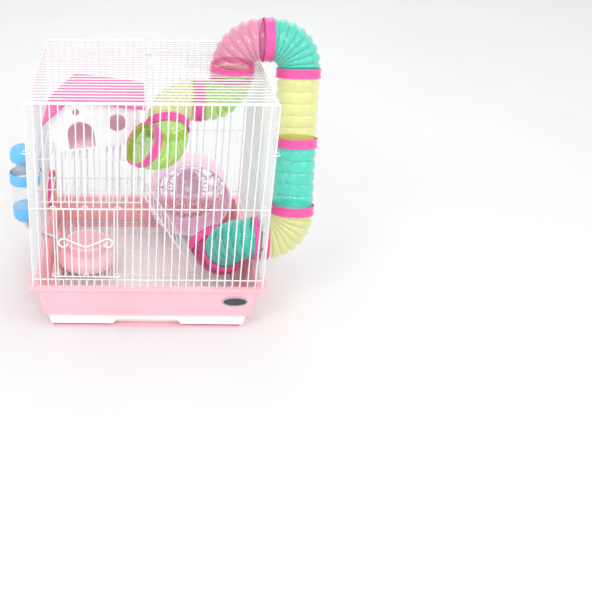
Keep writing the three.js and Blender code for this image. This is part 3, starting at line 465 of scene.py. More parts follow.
def mesh_object(name, shape, material, smooth_angle=40.0):
    mesh = bpy.data.meshes.new(name)
    mesh.from_pydata([tuple(c * MM for c in p) for p in shape.points], [], shape.faces)
    work = bmesh.new()
    work.from_mesh(mesh)
    bmesh.ops.remove_doubles(work, verts=work.verts, dist=1e-7)
    bmesh.ops.recalc_face_normals(work, faces=work.faces)
    work.to_mesh(mesh)
    work.free()
    mesh.polygons.foreach_set("use_smooth", [True] * len(mesh.polygons))
    mesh.set_sharp_from_angle(angle=math.radians(smooth_angle))
    mesh.materials.append(MATERIALS[material])
    made = bpy.data.objects.new(name, mesh)
    bpy.context.scene.collection.objects.link(made)
    return made


def bake_modifiers(made):
    """Replaces the object's mesh with what its modifiers make of it."""
    depsgraph = bpy.context.evaluated_depsgraph_get()
    baked = bpy.data.meshes.new_from_object(made.evaluated_get(depsgraph))
    made.modifiers.clear()
    made.data = baked
    return made


def cut_away(made, cutters):
    """Cuts other objects out of a piece and removes them."""
    for cutter in cutters:
        modifier = made.modifiers.new("cut", "BOOLEAN")
        modifier.object = cutter
        modifier.operation = "DIFFERENCE"
        modifier.solver = "EXACT"
    bake_modifiers(made)
    for cutter in cutters:
        bpy.data.objects.remove(cutter)
    return made


def round_edges(made, width, segments=3, angle=35.0):
    bevel = made.modifiers.new("round_edges", "BEVEL")
    bevel.width = width * MM
    bevel.segments = segments
    bevel.limit_method = "ANGLE"
    bevel.angle_limit = math.radians(angle)
    bevel.harden_normals = True
    return bake_modifiers(made)


def block(low, high):
    (x0, y0, z0), (x1, y1, z1) = low, high
    ring = [(x0, y0), (x1, y0), (x1, y1), (x0, y1)]
    return Shape().add_rings([np.array([(x, y, z) for x, y in ring]) for z in (z0, z1)])


def deliver(made, body, *nodes, slot):
    """Puts a finished piece in the model: what it rides on and what it stands for; its material slot is not
    used.
    """
    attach(made, body)
    if nodes:
        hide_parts(*nodes)
    return made


def deliver_shape(name, shape, material, body, *nodes, smooth_angle=40.0):
    """Makes a piece from a shape and delivers it."""
    made = mesh_object(name, shape, material, smooth_angle)
    deliver(made, body, *nodes, slot=SLOTS.get(material, material))


def deliver_wires(node, shape, body="cage_top"):
    deliver_shape(f"{node}_wires", shape, "white_wire", body, node)


# Wire panels


def steps(first, last, step):
    return first + step * np.arange(int(round((last - first) / step)) + 1)


def segment(a, b, count=2):
    return np.linspace(np.asarray(a, float), np.asarray(b, float), count)


FOOT_Z = RIM_Z + 0.3
WELD_LAP = 0.6
DOORWAY = (-115.0, -45.0, LOW_CROSS_Z, MID_CROSS_Z)


def end_panel(name, side):
    """The front (side -1) or back (side 1) wall: upright bars, two cross wires and a top border."""
    y = side * HALF_D
    shape = Shape()
    x0, x1, z0, z1 = DOORWAY
    for x in steps(-HALF_W, HALF_W, BAR_PITCH):
        if side < 0 and x0 < x < x1:
            add_wire(shape, segment((x, y, FOOT_Z), (x, y, z0 + WELD_LAP)))
            add_wire(shape, segment((x, y, z1 - WELD_LAP), (x, y, ROOF_Z)))
        else:
            add_wire(shape, segment((x, y, FOOT_Z), (x, y, ROOF_Z)))
    for z in (LOW_CROSS_Z, MID_CROSS_Z):
        inner = y - side * WELD_OFFSET
        add_wire(shape, segment((-HALF_W - 1, inner, z), (HALF_W + 1, inner, z)))
    add_wire(shape, segment((-HALF_W - 1, y, ROOF_Z), (HALF_W + 1, y, ROOF_Z)), BORDER_WIRE_R)
    deliver_wires(name, shape)


BEND_R = 4.0
PORT_CROSS_GAP = 25.0
HIGH_CROSS_Y = 71.0


def side_bar_spans(y, port_y, port_z):
    """The heights between which a side bar runs, broken by the round hole for the tube."""
    low, high = FOOT_Z, ROOF_Z - BEND_R
    away = abs(y - port_y)
    if away >= PORT_HOLE_R:
        return [(low, high)]
    half = math.sqrt(PORT_HOLE_R**2 - away**2)
    spans = [(port_z + half, high)]
    if port_z - PORT_HOLE_R > LOW_CROSS_Z or (port_z - half > LOW_CROSS_Z + 2 and port_z > 105):
        spans.append((low, port_z - half))
    return spans


def side_panel(name, side):
    """The left (side -1) or right (side 1) wall, with a round hole for a tube that breaks some wires."""
    _, port_y, port_z = centre_mm(f"port_plate_{name.split('_')[0]}")
    x = side * HALF_W
    inner = x - side * WELD_OFFSET
    shape = Shape()
    for y in steps(-SIDE_BAR_Y, SIDE_BAR_Y, BAR_PITCH):
        for low, high in side_bar_spans(y, port_y, port_z):
            add_wire(shape, segment((x, y, low), (x, y, high)))
    low_spans = [(-SIDE_CROSS_Y, SIDE_CROSS_Y)]
    if side < 0 or port_z - PORT_HOLE_R < LOW_CROSS_Z:
        low_spans = [(-SIDE_CROSS_Y, port_y - PORT_CROSS_GAP), (port_y + PORT_CROSS_GAP, SIDE_CROSS_Y)]
    crosses = [(LOW_CROSS_Z, *span) for span in low_spans] + [(MID_CROSS_Z, -SIDE_CROSS_Y, SIDE_CROSS_Y)]
    if side < 0:
        crosses.append((HIGH_CROSS_Z, -HIGH_CROSS_Y, HIGH_CROSS_Y))
    for z, y0, y1 in crosses:
        add_wire(shape, segment((inner, y0, z), (inner, y1, z)))
    deliver_wires(name, shape)


HATCH_Y0, HATCH_Y1 = -45.0, 55.0
HATCH_RIGHT_X = 48.0
ROOF_CROSS_Z = ROOF_Z + WELD_OFFSET
ROOF_CROSS_INSET = 4.0
ROOF_LOOP_R = 3.0
CLIP_R = 5.4


def roof_wire_spans(y, port):
    """The stretches of a roof wire, broken by the hatch's opening and the round hole for the tube."""
    spans = [(-HALF_W, HALF_W)]
    if HATCH_Y0 < y < HATCH_Y1:
        spans = [(-HALF_W, WELD_LAP), (HATCH_RIGHT_X - WELD_LAP, HALF_W)]
    away = abs(y - port[1])
    if away < PORT_HOLE_R:
        half = math.sqrt(PORT_HOLE_R**2 - away**2)
        spans = spans[:-1] + [(spans[-1][0], port[0] - half), (port[0] + half, HALF_W)]
    return spans


def roof_panel():
    """Wires along X whose ends turn down over the side walls, with cross wires on top."""
    port = centre_mm("port_plate_roof")
    shape = Shape()
    for y in steps(-SIDE_BAR_Y, SIDE_BAR_Y, BAR_PITCH):
        for x0, x1 in roof_wire_spans(y, port):
            corners = [(x0, y, ROOF_Z), (x1, y, ROOF_Z)]
            if x0 == -HALF_W:
                corners.insert(0, (x0, y, ROOF_Z - BEND_R))
            if x1 == HALF_W:
                corners.append((x1, y, ROOF_Z - BEND_R))
            add_wire(shape, rounded_path(corners, BEND_R))
    for x, y0, y1 in (
        (-HALF_W + ROOF_CROSS_INSET, -SIDE_CROSS_Y, SIDE_CROSS_Y),
        (0, -SIDE_CROSS_Y, SIDE_CROSS_Y),
        (HATCH_RIGHT_X, HATCH_Y0 - 6, HATCH_Y1 + 6),
        (HALF_W - ROOF_CROSS_INSET, -SIDE_CROSS_Y, SIDE_CROSS_Y),
    ):
        add_wire(shape, segment((x, y0, ROOF_CROSS_Z), (x, y1, ROOF_CROSS_Z)))
    loop_centre = (0, HALF_D - 2, ROOF_CROSS_Z + ROOF_LOOP_R)
    add_wire(shape, arc(loop_centre, ROOF_LOOP_R, X, Z, -80, 340, 18), THIN_WIRE_R)
    deliver_wires("roof_panel", shape)


def corner_clips():
    for end in ("front", "back"):
        for side, sign in (("left", -1), ("right", 1)):
            node = f"corner_clip_{end}_{side}"
            middle = centre_mm(node)
            centre = (sign * HALF_W, middle[1], middle[2])
            shape = Shape()
            add_wire(shape, arc(centre, CLIP_R, sign * X, Y * sign, 25, 310, 30), THIN_WIRE_R)
            deliver_shape(f"{node}_wire", shape, "white_wire", "cage_top", node)


# Door and hatch

DOOR_LEFT_X, DOOR_RIGHT_X = -120.0, -40.0
DOOR_HOOK_R = 3.6
DOOR_Y = -HALF_D - DOOR_HOOK_R
DOOR_BOTTOM_Z = RIM_Z + 19.5
DOOR_TOP_Z = MID_CROSS_Z + 2.3
DOOR_SIDE = 4.0
DOOR_SLAT_PITCH = 9.0
EYE_R = 3.0


def door_rail(shape, z):
    """A level wire whose ends hook round the cage bars, with a small eye in the middle."""
    left = arc((DOOR_LEFT_X, -HALF_D, z), DOOR_HOOK_R, -X, Y, 155, -245, 16)
    right = arc((DOOR_RIGHT_X, -HALF_D, z), DOOR_HOOK_R, X, Y, -90, 245, 16)
    add_wire(shape, np.concatenate([left, segment(left[-1], right[0], 4)[1:-1], right]))
    middle = (DOOR_LEFT_X + DOOR_RIGHT_X) / 2
    add_wire(shape, arc((middle, DOOR_Y - 1.4, z + 2.6), EYE_R, X, Z, -60, 300, 20), THIN_WIRE_R)


def door_scroll(shape, middle):
    """The V-shaped ornament: two arms that rise from the middle and curl outwards and down."""
    y = DOOR_Y - 1.7
    for side in (-1, 1):
        curl = np.array([middle + side * 28.0, y, RIM_Z + 71.0])
        turn = arc(curl, 6.8, side * X, Z, 115, -290, 26)
        shrink = np.linspace(1, 0.72, len(turn))[:, None]
        turn = curl + (turn - curl) * shrink
        foot = np.array([middle, y, RIM_Z + 65.5])
        lean = np.array([middle + side * 12.5, y, RIM_Z + 70.5])
        stem = curve(foot, lean, turn[0], 10)
        add_wire(shape, np.concatenate([stem[:-1], turn]), BORDER_WIRE_R)


def front_door():
    shape = Shape()
    for x in steps(DOOR_LEFT_X + DOOR_SIDE, DOOR_RIGHT_X - DOOR_SIDE, DOOR_SLAT_PITCH):
        add_wire(shape, segment((x, DOOR_Y, DOOR_BOTTOM_Z), (x, DOOR_Y, DOOR_TOP_Z)))
    door_rail(shape, DOOR_BOTTOM_Z)
    door_rail(shape, DOOR_TOP_Z)
    door_scroll(shape, (DOOR_LEFT_X + DOOR_RIGHT_X) / 2)
    deliver_wires("front_door", shape, "sliding_door")


HATCH_Z = ROOF_CROSS_Z + 2.3
HATCH_LEFT_X = 6.0
HATCH_LOOP_R = 3.2
LATCH_Y = 5


def roof_hatch():
    """Rows of wire on two rails, with three loops round the hinge wire and a latch on the right."""
    shape = Shape()
    left, right = HATCH_LEFT_X, HATCH_RIGHT_X + 1
    row_z = HATCH_Z + WELD_OFFSET
    for y in steps(HATCH_Y0, HATCH_Y1, BAR_PITCH):
        add_wire(shape, segment((left - 2, y, row_z), (right + 2, y, row_z)))
    for x in (left, right):
        add_wire(shape, segment((x, HATCH_Y0 - 2, HATCH_Z), (x, HATCH_Y1 + 2, HATCH_Z)))
    for y in (HATCH_Y0, (HATCH_Y0 + HATCH_Y1) / 2, HATCH_Y1):
        loop = arc((0, y, ROOF_CROSS_Z), HATCH_LOOP_R, X, Z, 326, -280, 22)
        add_wire(shape, np.concatenate([loop, [(left, y, HATCH_Z - 0.2)]]))
    latch = [(right + along, LATCH_Y, HATCH_Z + up) for along, up in ((0, 0), (7, 5), (8, -1.6))]
    add_wire(shape, rounded_path(latch, 4.0))
    deliver_wires("roof_hatch", shape, "hatch")


# Shelves, ladder and grate

SHELF_LEFT_X = -HALF_W + 4.5
SLAT_R = 0.85
SLAT_PITCH = 9
LIP_X, LIP_TOP_Z = -15.0, 237.6
HOOK_INSET = 15


def shelf(node, right, front, back, z, cross, lip=False):
    """A tray of slats on two rails, with two hooks over the wall's cross wire and perhaps a raised lip."""
    shape = Shape()
    if lip:
        for y in (front - WELD_OFFSET, back + WELD_OFFSET):
            add_wire(shape, segment((LIP_X, y, z - 4), (LIP_X, y, LIP_TOP_Z)))
        edge_x, edge_z = LIP_X - WELD_OFFSET, LIP_TOP_Z - WIRE_R
        add_wire(shape, segment((edge_x, front - 4, edge_z), (edge_x, back + 4, edge_z)))
    for x in np.linspace(SHELF_LEFT_X, right, int((right - SHELF_LEFT_X) / SLAT_PITCH) + 1):
        add_wire(shape, segment((x, front - 1, z), (x, back + 1, z)), SLAT_R)
    for y in (front, (front + back) / 2, back):
        add_wire(shape, segment((SHELF_LEFT_X - 2, y, z - WELD_OFFSET), (right + 2, y, z - WELD_OFFSET)))
    outside, top = -HALF_W - 1.7, cross + 2.3
    for near in (front + HOOK_INSET, back - HOOK_INSET):
        half_pitch = BAR_PITCH / 2
        y = round((near - half_pitch) / BAR_PITCH) * BAR_PITCH + half_pitch
        hook = [(SHELF_LEFT_X, y, z), (SHELF_LEFT_X, y, top), (outside, y, top), (outside, y, cross - 4)]
        add_wire(shape, rounded_path(hook, 3.0))
    deliver_wires(node, shape)


LADDER_TOP = np.array([-10.0, -39.0, MID_CROSS_Z - 13])
LADDER_FOOT = np.array([76.0, -39.0, 29.9])
LADDER_HOOK_R = 3.2
RAIL_Y, RAIL_R = 23.0, 1.1
RUNG_REACH, RUNG_R, RUNGS = 24.5, 0.7, 15
GRATE_WIRES, GRATE_CROSSES = 27, 4


def ladder():
    """Two rails that hook over the shelf's edge, with rungs between them."""
    shape = Shape()
    run = unit(LADDER_FOOT - LADDER_TOP)
    square = np.cross(run, Y)
    square = square if square[2] > 0 else -square
    length = np.linalg.norm(LADDER_FOOT - LADDER_TOP)
    for y in (-RAIL_Y, RAIL_Y):
        base = LADDER_TOP + y * Y
        hook = arc(base, LADDER_HOOK_R, run, square, 235, -150, 14)
        add_wire(shape, np.concatenate([hook, [base + run * length + square * LADDER_HOOK_R]]), RAIL_R)
    for t in np.linspace(12, length - 5, RUNGS):
        middle = LADDER_TOP + run * t + square * (LADDER_HOOK_R - WELD_OFFSET)
        add_wire(shape, segment(middle - RUNG_REACH * Y, middle + RUNG_REACH * Y), RUNG_R)
    deliver_wires("ladder", shape)


def floor_grate():
    low, high = box_mm("floor_grate")
    shape = Shape()
    cross_z, z = low[2] + 1, high[2] - 1
    half_w, half_d = high[0] - 2, high[1] - 2
    for x in np.linspace(-half_w, half_w, GRATE_WIRES):
        add_wire(shape, segment((x, -half_d - 2, z), (x, half_d + 2, z)))
    for y in np.linspace(-half_d, half_d, GRATE_CROSSES):
        add_wire(shape, segment((-half_w - 2, y, cross_z), (half_w + 2, y, cross_z)))
    deliver_wires("floor_grate", shape, "base")


# Base, badge and drawer

# Half width, half depth, corner radius and height, up the outside and down the inside
BASE_RINGS = [
    (129.0, 119.5, 8.0, 0.0),
    (135.8, 121.2, 8.0, 21.5),
    (141.0, 123.5, 12.0, 21.5),
    (146.9, 127.9, 12.0, 61.0),
    (154.2, 128.2, 9.0, 61.0),
    (158.0, 131.0, 9.0, 67.4),
    (157.2, 130.2, 9.0, 68.0),
    (144.4, 120.3, 5.0, 68.0),
    (143.8, 119.8, 5.0, 67.2),
    (137.0, 118.0, 4.0, 24.0),
    (121.0, 109.0, 3.0, 24.0),
    (121.0, 109.0, 3.0, 21.6),
    (125.0, 112.5, 1.0, 21.6),
    (125.0, 112.5, 1.0, 3.0),
]


def front_trapezoid(half_bottom, half_top, z0, z1, y0, y1):
    outline = [(-half_bottom, z0), (half_bottom, z0), (half_top, z1), (-half_top, z1)]
    return Shape().add_rings([np.array([(x, y, z) for x, z in outline]) for y in (y0, y1)])


def base_tub():
    """The basin in pink, with a deeper pink of painted shade inside, the drawer's slot and a recess for its
    front plate.
    """
    shape = Shape().add_rings([rounded_rectangle(*ring) for ring in BASE_RINGS])
    tub = mesh_object("base_tub_shell", shape, "base_plastic")
    slot_cut = mesh_object("slot_cut", block((-125, -140, 3), (125, -108, 21.6)), "base_plastic")
    recess = front_trapezoid(129.1, 134.1, 5.4, 23.6, -140, -116.2)
    cut_away(tub, [slot_cut, mesh_object("recess_cut", recess, "base_plastic")])
    round_edges(tub, 0.9)
    # The faces inside the basin take the deeper pink of painted shade.
    tub.data.materials.append(MATERIALS["base_inside_painted_shade"])
    inside = len(tub.data.materials) - 1
    for face in tub.data.polygons:
        x, y, z = face.center / MM
        if 22 < z < 67.8 and abs(x) < 144.3 and abs(y) < 120.2:
            face.material_index = inside
    deliver(tub, "base", "base_tub", slot="base_plastic")


def badge():
    """A plain domed oval with a narrow rim and no lettering."""
    place = centre_mm("badge")
    tilt = math.atan(4.5 / 38)
    up = np.array([0, -math.sin(tilt), math.cos(tilt)])
    out = np.array([0, -math.cos(tilt), -math.sin(tilt)])
    angles = circle_angles(48)

    def oval(scale_x, scale_z, lift):
        flat = np.outer(np.cos(angles) * scale_x, X) + np.outer(np.sin(angles) * scale_z, up)
        return place + flat + out * lift

    rim = [(17, 8, -0.6), (17, 8, 0.3), (16.4, 7.4, 0.75), (15.6, 6.7, 0.75), (15.3, 6.4, 0.2)]
    field = [(15.2, 6.3, 0.1), (14.8, 6.0, 0.45), (10, 4, 0.7), (3, 1.2, 0.8)]
    rim_shape = Shape().add_rings([oval(*ring) for ring in rim])
    field_shape = Shape().add_rings([oval(*ring) for ring in field])
    deliver_shape("badge_rim", rim_shape, "badge_rim", "base", "badge")
    deliver_shape("badge_field", field_shape, "badge_plastic", "base")


# Half widths at the bottom and the top, and the heights between which they run
FASCIA = (128.5, 133.5, 6.0, 23.0)
NOTCH = (47.0, 40.0, 4.0, 13.0)


def drawer():
    """A tray, its front plate with the finger notch, and the neck between them."""
    low, high = box_mm("drawer")
    z0, top, back = low[2], high[2] - 2, high[1]
    front = -112.0
    shape = Shape().add_rings(
        [
            rectangle_ring(123.6, front, back, z0),
            rectangle_ring(124, front, back, z0 + 0.6),
            rectangle_ring(124, front, back, top - 0.5),
            rectangle_ring(123.6, front + 0.4, back - 0.4, top),
            rectangle_ring(122.4, front + 1.6, back - 1.6, top),
            rectangle_ring(122, front + 2, back - 2, top - 0.5),
            rectangle_ring(121.6, front + 2.4, back - 2.4, z0 + 2.6),
            rectangle_ring(121, front + 3, back - 3, z0 + 2),
        ]
    )
    tray = mesh_object("drawer_tray", shape, "tray_plastic")
    plate = mesh_object("drawer_front", front_trapezoid(*FASCIA, -120, -116.5), "white_plastic")
    cut_away(plate, [mesh_object("notch_cut", front_trapezoid(*NOTCH, -125, -110), "white_plastic")])
    round_edges(plate, 0.8)
    neck = mesh_object("drawer_neck", block((-120, -117.4, 14), (120, -111, 20)), "white_plastic")
    round_edges(neck, 0.5)
    deliver(tray, "litter_drawer", "drawer", slot="white_plastic")
    deliver(plate, "litter_drawer", slot="white_plastic")
    deliver(neck, "litter_drawer", slot="white_plastic")


def rectangle_ring(half_w, front, back, z, radius=3.0):
    half_d = (back - front) / 2
    ring = rounded_rectangle(half_w, half_d, radius, z, 5)
    ring[:, 1] += (back + front) / 2
    return ring


# Bowl

# Radius and height, from the middle of the foot up the outside and down into the dish
BOWL_PROFILE = [
    (0.0, 0.6),
    (42.6, 0.6),
    (43.6, 0.0),
    (44.0, 0.8),
    (43.6, 4.0),
    (41.8, 8.5),
    (38.6, 12.6),
    (34.4, 15.6),
    (31.2, 17.4),
    (30.2, 19.4),
    (30.2, 27.0),
    (30.6, 30.6),
    (30.2, 31.6),
    (29.2, 32.0),
    (28.4, 31.4),
    (27.8, 29.0),
    (26.4, 16.0),
    (23.0, 10.0),
    (18.0, 9.2),
    (0.0, 9.0),
]


def food_bowl():
    low, high = box_mm("food_bowl")
    middle = (low + high) / 2
    profile = [(max(r, POINT_R), z) for r, z in BOWL_PROFILE]
    shape = turned_shape(profile, 72, shift_by((middle[0], middle[1], low[2])), closed=False)
    deliver_shape("food_bowl_dish", shape, "bowl_plastic", "base", "food_bowl", smooth_angle=50)


# Tubes and rings

TUBE_BEND_R = 35.0
CUFF = 7.0
MOUTH_CUFF = 13.0
REACH = TUBE_BEND_R + CUFF
CUFF_R = 26.2
LOBE_R = 27.9
TUBE_WALL = 1.2
TUBE_LEAN = math.radians(15)
STRAIGHT_LENGTH = 90.0
RING_W = 12.0
PORT_RING_W = 7.0


def elbow_path(corner, inward, outward, out_cuff, count):
    """Points, tangents and shares of the bend along an elbow's centre line."""
    bend = TUBE_BEND_R * math.pi / 2
    s = np.linspace(-CUFF + 0.3, bend + out_cuff - 0.3, count)
    angle = np.clip(s / TUBE_BEND_R, 0, math.pi / 2)
    along_in = TUBE_BEND_R * (np.sin(angle) - 1) + np.minimum(s, 0)
    along_out = TUBE_BEND_R * (1 - np.cos(angle)) + np.maximum(s - bend, 0)
    points = corner + np.outer(along_in, inward) + np.outer(along_out, outward)
    tangents = np.outer(np.cos(angle), inward) + np.outer(np.sin(angle), outward)
    return points, tangents, s / bend


def fade_at_ends(share, edge=0.03):
    """0 on the plain cuffs, 1 along the ridged stretch."""
    return np.clip(np.minimum(share, 1 - share) / edge, 0, 1)


def lobes(phase, sharpness=0.62):
    return np.abs(np.sin(math.pi * phase)) ** sharpness


def add_ridged_tube(shape, points, tangents, binormal, share, ridge, sides=64):
    """A tube's outer and inner skins; ridge(share, angle) gives its outer radius between the cuffs."""
    angles = circle_angles(sides)
    swell = fade_at_ends(share)
    outer, inner = [], []
    for i, (point, tangent) in enumerate(zip(points, tangents)):
        normal = np.cross(binormal, tangent)
        radius = CUFF_R + (ridge(share[i], angles) - CUFF_R) * swell[i]
        offsets = np.outer(np.cos(angles), normal) + np.outer(np.sin(angles), binormal)
        outer.append(point + radius[:, None] * offsets)
        inner.append(outer[-1] - TUBE_WALL * offsets)
    shape.add_rings(outer + inner[::-1], closed=True)


ELBOW_LOBES = 7
TUBE_WAISTS = 5
TUBE_SEAMS = 6


def elbow(node, material, corner, inward, outward, out_cuff=CUFF):
    """A bent corrugated tube: angle 0 is the inside of the bend, and the lobes are deepest on the outside."""
    points, tangents, share = elbow_path(corner, inward, outward, out_cuff, 150)

    def ridge(t, angles):
        outside = 0.5 - 0.5 * np.cos(angles)
        depth = 1.6 + 1.9 * outside
        return LOBE_R + 0.4 * outside - depth * (1 - lobes(ELBOW_LOBES * t + angles / (2 * math.pi)))

    shape = Shape()
    add_ridged_tube(shape, points, tangents, np.cross(inward, outward), share, ridge)
    deliver_shape(f"{node}_ridged", shape, material, "cage_top", node, smooth_angle=80)


def straight_tube(node, material, start, direction):
    """A straight tube with gentle waists and wandering moulded seams along it."""
    s = np.linspace(0.3, STRAIGHT_LENGTH - 0.3, 140)
    points = start + np.outer(s, direction)
    tangents = np.repeat(direction[None, :], len(s), axis=0)
    share = (s - CUFF) / (STRAIGHT_LENGTH - 2 * CUFF)

    def ridge(t, angles):
        waist = 2.0 * (1 - lobes(TUBE_WAISTS * t, 0.7))
        seam = TUBE_SEAMS * angles / (2 * math.pi) + 0.09 * math.sin(2 * TUBE_WAISTS * math.pi * t)
        groove = 0.7 * np.exp(-(((seam - np.round(seam)) / 0.07) ** 2))
        return LOBE_R - 0.5 - waist - groove

    shape = Shape()
    add_ridged_tube(shape, points, tangents, unit(np.cross(direction, X)), share, ridge, 144)
    deliver_shape(f"{node}_ridged", shape, material, "cage_top", node, smooth_angle=80)


RING_R = 28.8
RING_BORE_R = 26.9


def ring_profile(width):
    """A band between two slightly proud lips."""
    h = width / 2
    lip = min(2.2, width * 0.25)
    band_r = RING_R - 0.7
    lip_r = RING_R + 0.4
    return soften(
        [
            (RING_BORE_R, -h),
            (lip_r - 0.5, -h),
            (lip_r, -h + 0.5 * lip),
            (band_r, -h + lip),
            (band_r, h - lip),
            (lip_r, h - 0.5 * lip),
            (lip_r - 0.5, h),
            (RING_BORE_R, h),
        ],
        0.5,
        4,
    )


def connector_ring(node, direction, width):
    move = frame_to(centre_mm(node), direction)
    shape = turned_shape(ring_profile(width), 80, move)
    deliver_shape(f"{node}_band", shape, "magenta_plastic", "cage_top", node, smooth_angle=50)


def add_outer_run():
    """From the roof over the right edge and down to the right wall. Gives the place of that wall's port."""
    lean = np.array([0, -math.sin(TUBE_LEAN), -math.cos(TUBE_LEAN)])
    port = centre_mm("port_plate_roof")
    port[2] = ROOF_Z
    corner_1 = port + Z * REACH
    ring_a = corner_1 + X * REACH
    corner_2 = ring_a + X * REACH
    ring_b = corner_2 + lean * REACH
    ring_c = ring_b + lean * STRAIGHT_LENGTH
    ring_d = ring_c + lean * STRAIGHT_LENGTH
    corner_3 = ring_d + lean * REACH
    elbow("outer_elbow_pink", "pink_tube", corner_1, Z, X)
    elbow("outer_elbow_teal", "teal_tube", corner_2, X, lean)
    elbow("outer_elbow_yellow", "yellow_tube", corner_3, lean, -X)
    straight_tube("outer_tube_yellow", "yellow_tube", ring_b, lean)
    straight_tube("outer_tube_teal", "teal_tube", ring_c, lean)
    connector_ring("outer_ring_top", X, RING_W)
    for node in ("outer_ring_upper", "outer_ring_middle", "outer_ring_lower"):
        connector_ring(node, lean, RING_W)
    return corner_3 - X * REACH


def add_upper_inner_run():
    """From the roof's port down, to the left, forwards and down, and out at a mouth."""
    lean, turn = math.radians(54.6), math.radians(40.3)
    forward = np.array([0, -math.sin(lean), -math.cos(lean)])
    square = np.array([0, -math.cos(lean), math.sin(lean)])
    mouth = -X * math.cos(turn) + square * math.sin(turn)
    port = centre_mm("port_plate_roof")
    port[2] = ROOF_Z
    corner_1 = port - Z * REACH
    corner_2 = corner_1 - X * 2 * REACH
    corner_3 = corner_2 + forward * 2 * REACH
    elbow("upper_elbow_lime", "lime_tube", corner_1, -Z, -X)
    elbow("upper_elbow_yellow", "yellow_tube", corner_2, -X, forward)
    elbow("upper_mouth_elbow", "lime_tube", corner_3, forward, mouth, MOUTH_CUFF)
    connector_ring("upper_ring_side", X, RING_W)
    connector_ring("upper_ring_front", forward, RING_W)
    connector_ring("upper_mouth_ring", mouth, RING_W)


def add_lower_inner_run(wall_port):
    """From the right wall's port down to the floor, and out at a mouth."""
    lean, turn = math.radians(33), math.radians(60)
    down = np.array([0, math.sin(lean), -math.cos(lean)])
    square = np.array([0, math.cos(lean), math.sin(lean)])
    mouth = -X * math.cos(turn) + square * math.sin(turn)
    corner_1 = wall_port - X * REACH
    corner_2 = corner_1 + down * 2 * REACH
    elbow("lower_elbow_teal", "teal_tube", corner_1, -X, down)
    elbow("lower_mouth_elbow", "rose_tube", corner_2, down, mouth, MOUTH_CUFF)
    connector_ring("lower_ring_middle", down, RING_W)
    connector_ring("lower_mouth_ring", mouth, RING_W)


PLATE_HALF = 31.0
PLATE_THICK = 1.2
PLATE_HOLE_R = 27.2


def port_plate(node, out):
    """A square plate with round corners, a raised border and a round hole."""
    low, high = box_mm(node)
    middle = (low + high) / 2
    half, thick, sunk = PLATE_HALF, PLATE_THICK, PLATE_THICK - 0.35
    move = frame_to(middle - np.asarray(out) * thick / 2, out)
    count = 64
    angles = circle_angles(count)

    def square(reach, radius, z):
        ring = rounded_rectangle(reach, reach, radius, z, count // 4)
        start = np.argmin(np.abs(np.arctan2(ring[:, 1], ring[:, 0])))
        return np.roll(ring, -start, axis=0)

    def circle(radius, z):
        return np.stack([radius * np.cos(angles), radius * np.sin(angles), np.full(count, z)], 1)

    rings = [circle(PLATE_HOLE_R, 0.0), square(half - 0.4, 5.0, 0.0), square(half, 5.2, 0.4)]
    rings += [square(half, 5.2, thick), square(half - 1.0, 4.4, thick), square(half - 1.5, 4.0, sunk)]
    rings.append(circle(PLATE_HOLE_R, sunk))
    shape = Shape().add_rings([move(ring) for ring in rings], closed=True)
    deliver_shape(f"{node}_sheet", shape, "milky_sheet", "cage_top", node)


DOME_R = 26.5
DOME_INNER_R = 25.0
DOME_TIP_WALL = 1.6


def dome_cap():
    """A fluted cap: a plain neck in the port and a rounded end outside."""
    low, high = box_mm("dome_cap")
    length = high[0] - low[0]
    middle = (low + high) / 2
    move = frame_to((high[0], middle[1], middle[2]), -X)
    t = np.linspace(0, math.pi / 2, 22)
    neck = 0.42 * length

    def vault(radius, top, angles):
        return [(max(radius * math.cos(a), POINT_R), neck + (top - neck) * math.sin(a)) for a in angles]

    outer = [(DOME_R, 0.0), (DOME_R, 0.2 * length)] + vault(DOME_R, length, t)
    inner = vault(DOME_INNER_R, length - DOME_TIP_WALL, t[::-1]) + [(DOME_INNER_R, 0.0)]

    def wave(angles, index):
        flutes = 0.35 * np.cos(12 * angles)
        inside = 2 <= index < len(outer) - 1 or len(outer) < index < len(outer) + len(inner) - 2
        return flutes if inside else 0 * angles

    shape = turned_shape(outer + inner, 72, move, wave)
    deliver_shape("dome_cap_shell", shape, "yellow_tube", "dome", "dome_cap", smooth_angle=70)


# Wheel

WHEEL_R = 61.5
WHEEL_DEPTH = 46.0
WHEEL_INNER_R = WHEEL_R - 2.0
LATTICE_Z = 1.2
LATTICE_RINGS = (20.0, 32.3, 44.5)
# Inner and outer radius of each band of crossed bars, and its number of cells
LATTICE_BANDS = ((12.5, 20.0, 12), (20.0, 44.5, 12), (44.5, WHEEL_INNER_R - 3, 24))
TREADS = 48
TREAD_ROWS = (9, 10)


def on_back_face(node):
    """Places what is turned round +Z on a node's back face, pointing to the front."""
    low, high = box_mm(node)
    return frame_to(((low[0] + high[0]) / 2, high[1], (low[2] + high[2]) / 2), -Y, X)


def around(radius, angle):
    return np.array([radius * math.cos(angle), radius * math.sin(angle), LATTICE_Z])


